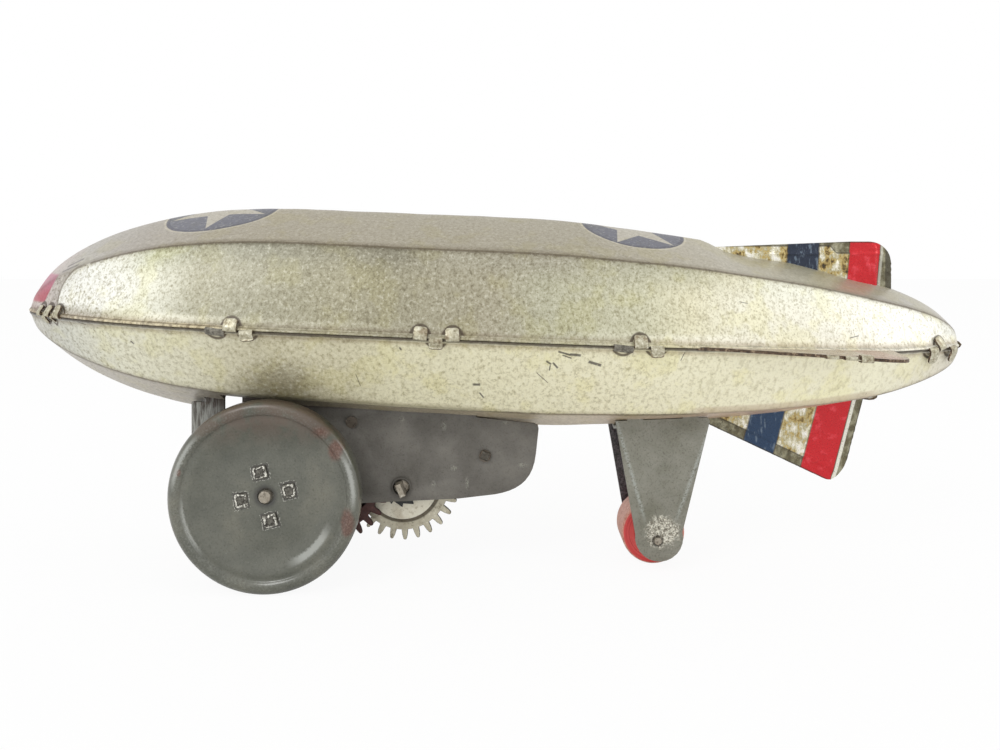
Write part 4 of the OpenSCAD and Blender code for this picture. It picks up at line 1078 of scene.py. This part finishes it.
# Painted shadow and grime: a dark band round each bent tab.
outline = 0
bent = [(x, up, 1) for x, up, pattern in TABS] + [(x, up, 0.75 * grow) for x, up, grow, turn in CLUSTER]
for x, up, grow in bent:
    aside = (hull.x - x) / (2.2 * grow)
    away = hull.math("SQRT", aside * aside + from_seam * from_seam * (0.13 if up > 0 else 0.22))
    ring = hull.band(away + ragged * 0.05, 0.94, 1.26, 0.08) * (is_upper if up > 0 else is_lower)
    outline = hull.math("MAXIMUM", ring, outline)
hull.coat(outline * off_lip * 0.85, 70, 56, 40)
for x, z, end_x, end_z, wide in SCRATCHES:
    hull.coat(line_mark(hull, (x, z), (end_x, end_z), wide) * 0.85 * worn, 66, 62, 58)
pits = hull.step(hull.noise(0.5, 5, 0.8), 0.67, 0.71)
hull.coat(pits * 0.5, 116, 92, 70)
litho_tin = hull.finish(0.3 + speckle * 0.2 + near_seam * 0.25 + pits * 0.2, 0.2, (clouds, 0.5),
                        (grain * 0.5 + speckle, 0.035), Coat_Weight=0.12, Coat_Roughness=0.25)
print("nodes in the hull's finish", len(hull.tree.nodes))

# %% [markdown]
# The fins are thinner tin with a gold varnish, hammered by the press into soft blotches that catch the
# light; the palest patches of that mottle are painted reflections. Each carries a blue and a red stripe
# that lean with the fin and a plain frame round the panel, and the top and bottom fins have a painted
# highlight line beside the red stripe.


# %% Fin finish
def fin_finish(name, rate, level, blue, red, border, navy=(34, 44, 62), old=0.0, glint=0.85):
    """rate is how far the stripes lean per mm of height, border(tin) is how far the frame's edge is away in
    mm, old fades it all, and glint is the share of the painted highlight line beside the red stripe."""
    tin = Paint(name)
    lean = tin.x - (tin.z - level) * rate
    mottle = tin.noise(0.36, 4, 0.6)
    ripple = tin.noise(1.1, 4, 0.6, at=tin.stretch(1.2, 1, 0.35))
    fleck = tin.noise(1.5, 4, 0.75)
    # The gold mottle is partly painted light: its palest stops are painted reflections on the hammered tin.
    gold = tin.ramp(mottle + (ripple - 0.5) * 0.5, (0.3, 60, 50, 28), (0.37, 144, 120, 66),
                    (0.44, 200, 178, 116), (0.5, 180, 172, 138), (0.57, 224, 218, 190), (0.68, 252, 250, 242))
    reach = border(tin)
    frame_tin = tin.mix(tin.step(mottle, 0.42, 0.6), tint(88, 84, 64), tint(140, 136, 110))
    tin.colour = tin.mix(tin.step(reach, 3.3, 3.1) * 0.92, gold, frame_tin)
    tin.coat(tin.band(reach, 3.0, 3.4, 0.12) * 0.7, 48, 42, 30)
    tin.stain(tin.step(fleck, 0.45, 0.25) * 0.5, 150, 132, 98)
    kept = tin.step(fleck, 0.24, 0.32)
    deep = tin.mix(tin.step(ripple, 0.54, 0.68) * 0.65, tint(*navy), tint(120, 136, 152))
    scarlet = tin.mix(tin.step(mottle, 0.54, 0.7), tint(200, 22, 34), tint(224, 64, 74))
    for start, stop in (blue, red):
        tin.coat(tin.band(lean, start - 0.3, stop + 0.3, 0.1) * (0.7 - old * 0.7), 60, 50, 36)
    tin.colour = tin.mix(tin.band(lean, *blue, 0.14) * kept * (1 - old), tin.colour, deep)
    tin.colour = tin.mix(tin.band(lean, *red, 0.14) * kept * (1 - old * 0.6), tin.colour, scarlet)
    # Painted highlight: a pale line beside the red stripe, on the pressed rib there.
    painted_glint_line = tin.band(lean, red[1] + 0.2, red[1] + 0.6 + glint * 0.8, 0.12) * tin.step(fleck, 0.3, 0.42)
    tin.coat(painted_glint_line * glint, 244, 242, 228)
    tin.coat(tin.step(reach, 0.45, 0.2) * 0.75, 50, 44, 32)
    tin.coat(old * 0.85, 172, 156, 140)
    return tin.finish(0.18 + fleck * 0.22, 0.42 - old * 0.3, (mottle, 0.5), (ripple, 0.16),
                      Coat_Weight=0.3 - old * 0.3, Coat_Roughness=0.1)


def top_border(tin):
    rise = tin.band(tin.x, 50, 92, 1) * 2.0
    return tin.math("MINIMUM", TOP_EDGE - tin.z + rise, TOP_REAR - tin.x - 1.3)


def low_border(tin):
    lean = tin.x - (tin.z - LEAN_LEVEL) * LEAN
    return tin.math("MINIMUM", tin.z - low_edge_z(tin.x), 98.4 - lean)


def side_border(tin):
    return SPAN - tin.math("ABSOLUTE", tin.y) + 1.6


top_fin_tin = fin_finish("top_fin_print", 0.09, TOP_EDGE, (79.9, 88.3), (96.7, 104.9), top_border, glint=0.4)
low_fin_tin = fin_finish("bottom_fin_print", LEAN, LEAN_LEVEL, (68.8, 77.7), (86.2, 95.1), low_border,
                         navy=(34, 60, 90))
side_fin_tin = fin_finish("side_fin_print", 0, 0, (69.5, 78.5), (87.6, 95.0), side_border, old=0.9, glint=0.0)


# %% Bent tabs and clips, and the cut edges of thin sheet, painted dark as shade and grime
def rubbed_tin(name, scale, rough, shine, depth, *stops, fine=0.7):
    """Small sheet metal whose one fine noise sets its colour, gloss and relief."""
    tin = Paint(name)
    rub = tin.noise(scale, 4, fine)
    tin.colour = tin.ramp(rub, *stops)
    return tin.finish(rough + rub * 0.2, shine, (rub, depth))


leaf_tin = rubbed_tin("grimy_leaf_tin", 1.1, 0.36, 0.3, 0.05, (0.32, 62, 58, 50), (0.46, 106, 102, 92),
                      (0.6, 136, 132, 120), (0.74, 196, 190, 174))
# Painted shade and grime: the cut edges of tabs, fins and the lug are dark, which outlines them as their
# shade would.
cut_edge_shade_and_grime = rubbed_tin("cut_edge_grime", 1.3, 0.4, 0.2, 0.05, (0.36, 50, 38, 30), (0.54, 92, 74, 58),
                      (0.7, 168, 150, 124))
tabs = Paint("bent_tab_tin")
rub = tabs.noise(1.1, 4, 0.7)
dirt = tabs.noise(0.5, 3, 0.6)
tabs.colour = tabs.ramp(rub, (0.3, 112, 104, 84), (0.44, 170, 163, 138), (0.56, 192, 187, 164),
                        (0.72, 236, 233, 214))
tabs.stain(tabs.step(dirt, 0.54, 0.66) * 0.6, 164, 138, 110)
tab_tin = tabs.finish(0.28 + dirt * 0.2, 0.4, (rub, 0.05))

# %% [markdown]
# The motor plates and wheels are dipped in a thin grey-brown paint over steel. It is almost matt, a little
# orange-peeled, rubbed lighter on the edges, wrinkled where the plate is bent, and rusty on the wheel rims.
# Painted light is added too: shade on the plate's top under the hull and round the winding hole, highlight
# arcs on the wheels' rims and dishes, and a darker, browner reflection on the wheels' tops.


# %% Dipped paint
def dipped(name, cloud_scale, grit_scale, dark, plain, light):
    """Thin paint that clouds between three greys, with the noise of its clouds and of its grit."""
    paint = Paint(name)
    cloud = paint.noise(cloud_scale, 4, 0.6)
    paint.colour = paint.ramp(cloud, (0.3, *dark), (0.5, *plain), (0.7, *light))
    return paint, cloud, paint.noise(grit_scale, 4, 0.7)


# %% Motor plates
NICKS = [(-23.9, 40.0, 1.1, 1.0), (-13.1, 38.1, 0.9, 1.6), (-3.3, 40.9, 1.6, 0.5), (3.0, 39.0, 1.4, 0.7),
         (-7.1, 23.4, 0.6, 2.2), (-10.5, 27.3, 1.2, 1.0), (-15.7, 23.2, 0.8, 1.2), (7.1, 28.1, 1.6, 1.0),
         (-38.0, 33.0, 0.5, 0.4)]
plate, cloud, grit = dipped("plate_grey_paint", 0.12, 2.2, (91, 88, 82), (105, 102, 96), (118, 115, 108))
plate.stain(plate.step(grit, 0.5, 0.28) * 0.5, 168, 160, 148)
plate.coat(plate.step(grit, 0.66, 0.78) * 0.4, 146, 142, 134)
# Painted shade: the plate's top is painted darker under the hull, with a dark line along the hull's edge.
plate.stain(plate.step(plate.z + (cloud - 0.5) * 8, 43, 47) * 0.45, 150, 128, 104)
hull_shadow_line = plate.step(plate.z + plate.x * 0.012 + (grit - 0.5) * 1.6, 41.6, 43.0)
plate.coat(hull_shadow_line * 0.55, 66, 48, 36)
bend = plate.step(plate.x, -69.5, -72.5)
folds = plate.noise(1.0, 4, 0.7, at=plate.stretch(1.1, 1.1, 0.16))
plate.coat(bend * plate.step(folds, 0.42, 0.62) * 0.75, 168, 170, 164)
plate.stain(bend * plate.step(folds, 0.48, 0.36) * 0.6, 140, 132, 120)
# Painted shade: darker round the winding hole.
plate.stain(plate.step(plate.away(*WINDING), 3.6, 2.1) * 0.5, 120, 112, 102)
nicks = sum(spot(plate, *place, 0.9) for place in NICKS)
plate.coat(plate.math("MINIMUM", nicks, 1.0) * plate.step(grit, 0.44, 0.6) * 0.75, 154, 154, 142)
plate_paint = plate.finish(0.5 + grit * 0.14, 0.1, (folds * bend, 0.5), (cloud, 0.4), (grit, 0.035))


# %% Wheels
def tab_frame(paint):
    """How far a place is from the middle of the nearest hub tab, where 1 is on its outline."""
    nearest = 9
    for angle in TAB_ANGLES:
        a = math.radians(angle)
        dx = paint.x - AXLE[0] - 6.0 * math.cos(a)
        dz = paint.z - AXLE[1] - 6.0 * math.sin(a)
        u = paint.math("ABSOLUTE", dx * math.cos(a) + dz * math.sin(a)) / 1.5
        v = paint.math("ABSOLUTE", dz * math.cos(a) - dx * math.sin(a)) / 1.7
        nearest = paint.math("MINIMUM", paint.math("MAXIMUM", u, v), nearest)
    return nearest


RUST = [(-38.4, 35.2, 2.4, 3.2), (-35.5, 17.8, 2.2, 4.2), (-76.4, 30.2, 1.0, 1.3)]
HIGHLIGHT_ARCS = [(-76.0, 32.9, 21.9, 0.45, 9), (-34.6, 28.0, 22.0, 0.5, 8.5), (-44.2, 11.1, 17.2, 0.8, 8),
             (-74.6, 16.5, 19.9, 0.25, 9)]
wheel, cloud, grit = dipped("wheel_grey_paint", 0.1, 2.0, (74, 76, 65), (90, 91, 80), (106, 105, 92))
out = wheel.away(*AXLE)
height = wheel.z - AXLE[1]
wheel.stain(wheel.step(grit, 0.5, 0.3) * 0.7, 180, 174, 162)
wheel.coat(wheel.step(grit, 0.6, 0.76) * 0.3, 160, 158, 148)
wheel.stain(wheel.step(out, 3.4, 2.1) * 0.75, 96, 84, 74)
# Painted reflection: the upper part of the wheel is painted darker and browner.
wheel.coat(wheel.step(height, 10, 20) * wheel.step(wheel.noise(0.2, 4, 0.6), 0.34, 0.55) * 0.6, 92, 72, 62)
rust = sum(spot(wheel, *place) for place in RUST) + spot(wheel, -42.0, 39.6, 3.4, 2.2, 0.9) * 0.9
rust = rust + wheel.step(wheel.noise(0.33, 5, 0.75), 0.66, 0.74) * wheel.step(out, 19, 21.5) * 0.6
rust_colour = wheel.mix(wheel.step(grit, 0.4, 0.62), tint(82, 48, 34), tint(108, 72, 56))
wheel.colour = wheel.mix(wheel.math("MINIMUM", rust, 1.0) * 0.85, wheel.colour, rust_colour)
# Painted highlights: light arcs on the rim and the dish, over a faint rubbed band along the rim.
mark_share = wheel.step(grit, 0.5, 0.62) * wheel.band(out, 20.2, 22.4, 0.5) * 0.1
for x, z, radius, wide, reach in HIGHLIGHT_ARCS:
    near = wheel.step(wheel.away(x, z), reach, reach * 0.3)
    mark_share = mark_share + wheel.band(out + (grit - 0.5) * 1.2, radius - wide, radius + wide, 0.4) * near * 0.72
wheel.coat(wheel.math("MINIMUM", mark_share, 0.7), 176, 178, 172)
around = tab_frame(wheel) + (wheel.noise(0.75, 4, 0.7) - 0.5) * 0.9
wheel.coat(wheel.band(around, 0.9, 1.24, 0.06) * 0.7, 48, 42, 36)
wheel.coat(wheel.band(around, 1.26, 1.36, 0.04) * wheel.step(grit, 0.5, 0.56) * 0.8, 206, 204, 194)
wheel_paint = wheel.finish(0.3 + grit * 0.16, 0.12, (cloud, 0.3), (grit, 0.04),
                           Coat_Weight=1 - wheel.step(height, 8, 18) * 0.7, Coat_Roughness=0.16)

# %% Hubs, with chipped bright edges on their tabs
hub = Paint("hub_dark_steel")
grit = hub.noise(1.3, 4, 0.7)
hub.colour = hub.ramp(grit, (0.34, 62, 58, 52), (0.5, 100, 98, 90), (0.64, 118, 115, 106),
                      (0.76, 196, 190, 176))
around = tab_frame(hub) + (hub.noise(0.75, 4, 0.7) - 0.5) * 1.5
on_face = hub.step(hub.math("ABSOLUTE", hub.y), 21, 21.2)
hub.coat(hub.band(around, 0.7, 0.9, 0.06) * hub.step(grit, 0.44, 0.52) * on_face * 0.9, 242, 240, 228)
hub.coat(hub.band(around, 0.5, 0.68, 0.05) * 0.8, 44, 40, 34)
hub_steel = hub.finish(0.3 + grit * 0.25, 0.3, (grit, 0.12))
chipped = rubbed_tin("hub_chipped_edge", 1.5, 0.22, 0.4, 0.1, (0.36, 48, 42, 36), (0.47, 130, 122, 108),
                     (0.56, 238, 232, 216), fine=0.75)
print("plate, wheel and hub finishes made")

# %% [markdown]
# Inside, the gear train is bare metal: a light tinned great wheel and its cream disc, a dark maroon
# lacquered second wheel, dark steel ratchet and click, brass pinions and an oily blue-grey mainspring.
# One function makes bare metals from three colours and can paint a circle of shade on a gear, the disc's
# shadow on the great wheel. The gears' sides and the disc's edge get darker copies of their finishes, as
# painted shade.


# %% Bare metals
def metal(name, dark, plain, bright, shine, rough, scale=1.2, depth=0.05, at=None, ring=None):
    """Its last argument gives the x, z, inner and outer radius of a painted shadow band, and the radius where
    the teeth darken.
    """
    stock = Paint(name)
    grit = stock.noise(scale, 4, 0.7, at=stock.stretch(*at) if at else None)
    stock.colour = stock.ramp(grit, (0.3, *dark), (0.46, *plain), (0.58, *plain), (0.74, *bright))
    stock.stain(stock.step(stock.noise(0.18, 3, 0.6), 0.46, 0.66) * 0.35, 176, 158, 134)
    # Painted shadow: a dark circle where the disc shades the great wheel. The teeth darken toward their tips.
    if ring:
        x, z, inner, outer, tips = ring
        away = stock.away(x, z)
        stock.stain(stock.band(away, inner, outer, 0.2) * 0.85, 92, 82, 66)
        stock.stain(stock.step(away + (grit - 0.5) * 2.4, tips - 0.5, tips + 0.6) * 0.8, 128, 120, 106)
    return stock.finish(rough + grit * 0.2, shine, (grit, depth))


gear_tin = metal("great_wheel_tin", (132, 124, 104), (194, 188, 168), (228, 224, 208), 0.3, 0.3,
                 ring=(*WINDING, 9.2, 10.3, 16.2))
# Darker copies for the cut sides of the gears and the disc: painted shade.
gear_sides_shade = metal("gear_tooth_sides", (40, 36, 32), (84, 78, 68), (140, 134, 120), 0.3, 0.4)
maroon = metal("second_wheel_lacquer", (40, 24, 22), (72, 42, 38), (112, 74, 68), 0.2, 0.34)
maroon_sides_shade = metal("second_wheel_sides", (24, 16, 15), (44, 28, 25), (76, 54, 50), 0.2, 0.42)
cream = metal("disc_cream_tin", (176, 166, 142), (226, 221, 203), (242, 238, 226), 0.15, 0.36, 0.9, 0.1)
cream_edge_shade = metal("disc_edge", (60, 54, 46), (118, 110, 96), (168, 160, 146), 0.2, 0.4)
dark_steel = metal("ratchet_steel", (26, 27, 27), (52, 54, 54), (104, 106, 104), 0.35, 0.32)
pitted = metal("axle_steel", (56, 44, 36), (160, 152, 138), (246, 243, 232), 0.5, 0.24, 1.5, 0.14)
pillar_steel = metal("pillar_steel", (54, 48, 42), (104, 96, 86), (160, 152, 140), 0.5, 0.34)
lug_steel = metal("lug_dark_steel", (44, 40, 34), (82, 78, 70), (150, 146, 136), 0.3, 0.36)
spring_steel = metal("mainspring_steel", (46, 48, 54), (78, 82, 90), (122, 126, 134), 0.6, 0.26, 0.8, 0.04,
                     at=(0.3, 4.0, 0.3))
brass = metal("pinion_brass", (112, 84, 44), (176, 142, 84), (214, 188, 132), 0.6, 0.26)

# %% [markdown]
# The rear bracket is the same paint on thinner tin, a little lighter and greener; its far leg is painted
# darker, as painted shade. Two creases are pressed into its leg, both running down toward the axle. The
# paint is rubbed to bright metal round the axle.

# %% Rear bracket
LEG_CREASES = [((32.3, 36.9), (38.6, 14.6)), ((55.0, 36.0), (47.3, 14.6))]
leg, cloud, grit = dipped("bracket_grey_paint", 0.14, 2.2, (118, 117, 104), (132, 131, 120), (142, 141, 130))
# Painted shade: the far leg's inner face is painted darker.
far_leg = leg.step(leg.y, 4.0, 4.6)
far_leg_shade = leg.mix(leg.step(grit, 0.42, 0.62), tint(62, 58, 60), tint(96, 90, 94))
leg.colour = leg.mix(far_leg, leg.colour, far_leg_shade)
leg.stain(leg.step(grit, 0.5, 0.3) * 0.7, 176, 172, 160)
leg.coat(leg.step(grit, 0.6, 0.76) * 0.25, 176, 174, 164)
creases = 0
for start, end in LEG_CREASES:
    on, off, span = beside(leg, start, end)
    creases = leg.step(off, 0.8, 0.0) * leg.step(on, span + 3, span - 3) + creases
leg.coat(creases * leg.step(grit, 0.36, 0.56) * (1 - far_leg) * 0.75, 166, 170, 164)
bare = leg.away(43.4, 10.8, 1, 0.913) + (leg.noise(0.7, 5, 0.7) - 0.5) * 6
bare = leg.step(bare, 5.0, 3.2) * (1 - far_leg)
bright = leg.mix(leg.step(grit, 0.36, 0.66), tint(112, 106, 92), tint(250, 247, 232))
leg.colour = leg.mix(bare * 0.85, leg.colour, bright)
leg.stain(leg.band(leg.away(*ROLLER), 0, 1.5, 0.15) * 0.7, 70, 60, 52)
bracket_paint = leg.finish(0.44 + grit * 0.14 - bare * 0.12, 0.12 + bare * 0.3, (creases, 0.14),
                           (grit, 0.035))

# %% Red wooden roller
wood = Paint("roller_red_wood")
out = wood.away(*ROLLER)
growth = wood.node("ShaderNodeCombineXYZ", {}, {0: out * 2.2, 1: wood.y * 0.3, 2: 0.0})
rings = wood.noise(1.0, 4, 0.7, at=growth)
pores = wood.noise(1.5, 4, 0.75, at=wood.stretch(0.6, 1.6, 0.6))
tread = wood.step(out, 7.75, 8.15)
side_red = wood.ramp(rings, (0.32, 178, 50, 50), (0.5, 212, 70, 68), (0.68, 226, 104, 98))
rolled = wood.ramp(pores, (0.34, 170, 104, 88), (0.5, 206, 150, 132), (0.7, 228, 186, 168))
wood.colour = wood.mix(tread, side_red, rolled)
wood.coat(wood.step(pores, 0.62, 0.7) * (1 - tread) * 0.6, 214, 160, 140)
red_wood = wood.finish(0.42 + pores * 0.2, 0.0, (rings * (1 - tread) + pores * tread, 0.09), Coat_Weight=0.2,
                       Coat_Roughness=0.3)
print("materials", len(bpy.data.materials))

# %% [markdown]
# Now each piece gets its finish, rides on the body it belongs to, and stands for its construction solid.
# The few solids that keep their own shape only change their material.

# %% Finish and ride
DRESSED = [
    ("frame", "litho_tin", [litho_tin], hull_upper, hull_lower),
    ("frame", "fin_tin", [top_fin_tin, cut_edge_shade_and_grime], fin_top),
    ("frame", "fin_tin", [low_fin_tin, cut_edge_shade_and_grime], fin_bottom),
    ("frame", "fin_tin", [side_fin_tin, cut_edge_shade_and_grime], fin_near, fin_far),
    ("frame", "painted_plate", [plate_paint], plate_near, plate_far, burr),
    ("frame", "dark_steel", [lug_steel, cut_edge_shade_and_grime], lug),
    ("frame", "bracket_tin", [bracket_paint], bracket),
    ("frame", "dark_steel", [pitted], roller_axle),
    ("frame", "spring_steel", [spring_steel], mainspring),
    ("front_wheels", "painted_wheel", [wheel_paint], wheel_near, wheel_far),
    ("front_wheels", "dark_wheel", [hub_steel, chipped], hub_near, hub_far),
    ("front_wheels", "dark_steel", [pitted], front_axle),
    ("second_shaft", "dark_wheel", [maroon, maroon_sides_shade], second_wheel),
    ("great_gear", "gear_tin", [gear_tin, gear_sides_shade], great_wheel),
    ("great_gear", "disc_tin", [cream, cream_edge_shade], click_disc),
    ("winding_shaft", "dark_steel", [dark_steel], ratchet),
    ("winding_shaft", "dark_steel", [pitted], winding),
    ("roller", "red_wood", [red_wood], roller)]
for body, slot, finishes, *pieces in DRESSED:
    for piece in pieces:
        finish_piece(piece, body, finishes)
GRIMY_TABS = ("seam_tab_1_", "seam_tab_7_")
for piece in seam_tabs:
    sheet_tin = leaf_tin if piece.name.startswith(GRIMY_TABS) else tab_tin
    finish_piece(piece, "frame", [sheet_tin, cut_edge_shade_and_grime])

KEPT = {"pillar_rear": pillar_steel, "pillar_front": pillar_steel, "pillar_top": pillar_steel,
        "axle_pinion": brass, "second_pinion": brass, "second_arbor": pillar_steel, "click": dark_steel,
        "click_rivet": brass, "click_spring": spring_steel}
for name, finish in KEPT.items():
    for held in nodes[name].material_slots:
        held.material = finish

# %% [markdown]
# The toy stands on a plain pale floor under one large soft lamp from the upper left and a weak one from
# the right. The world is white to the eye and in reflections, and a little dimmer as light. The floor
# looks almost white to the camera, but it still takes a share of its real shading, so a shadow stays.

# %% Floor
FLOOR_GLOW = 0.93
clear()
bpy.ops.mesh.primitive_plane_add(size=3)
floor = named("floor")
pick(floor, everywhere, "VERT")
bpy.ops.mesh.subdivide(number_cuts=3)
done_editing()
ground = Paint("pale_floor")
matt = ground.node("ShaderNodeBsdfDiffuse", {}, {"Color": (0.94, 0.94, 0.94, 1)})
white = ground.node("ShaderNodeEmission")
to_camera = ground.node("ShaderNodeLightPath", out="Is Camera Ray") * FLOOR_GLOW
mixed = ground.node("ShaderNodeMixShader", {}, {0: to_camera, 1: matt, 2: white})
ground.node("ShaderNodeOutputMaterial", {}, {0: mixed}, out=None)
floor.data.materials.append(ground.material)

# %% World
WHITE = (1, 1, 1, 1)
world = bpy.data.worlds.new("studio")
bpy.context.scene.world = world
world.use_nodes = True
sky = Nodes(world.node_tree)
soft = sky.node("ShaderNodeBackground", {}, {"Color": WHITE, "Strength": 0.8})
seen = sky.node("ShaderNodeBackground", {}, {"Color": WHITE})
straight, glossy, through = [sky.node("ShaderNodeLightPath", out=f"Is {kind} Ray")
                             for kind in ("Camera", "Glossy", "Transmission")]
any_of = sky.math("MAXIMUM", sky.math("MAXIMUM", straight, glossy), through)
mixed = sky.node("ShaderNodeMixShader", {}, {0: any_of, 1: soft, 2: seen})
sky.node("ShaderNodeOutputWorld", {}, {0: mixed}, out=None)


# %% Lamps
def lamp(name, place, power):
    """A square soft lamp that looks at the toy's middle."""
    clear()
    bpy.ops.object.light_add(type="AREA", location=place)
    made = bpy.context.object
    made.name = name
    made.data.size = 0.35
    made.data.energy = power
    made.rotation_euler = (Vector((0, 0, 0.05)) - Vector(place)).to_track_quat("-Z", "Y").to_euler()


lamp("key_lamp", (-0.42, -0.55, 0.62), 2.0)
lamp("right_lamp", (0.75, -0.25, 0.35), 1.0)

# %% [markdown]
# The camera stands level, a little under the ridge's height. Its shift moves the frame down, which keeps
# upright lines upright.

# %% Camera
clear()
bpy.ops.object.camera_add(location=(0.0014, -0.210, 0.0862), rotation=(math.pi / 2, 0, 0))
camera = bpy.context.object
camera.data.lens = 27.76
camera.data.sensor_width = 36
camera.data.shift_y = -0.135
camera.data.clip_start = 0.01
bpy.context.scene.camera = camera
bpy.context.scene.view_settings.view_transform = "Standard"
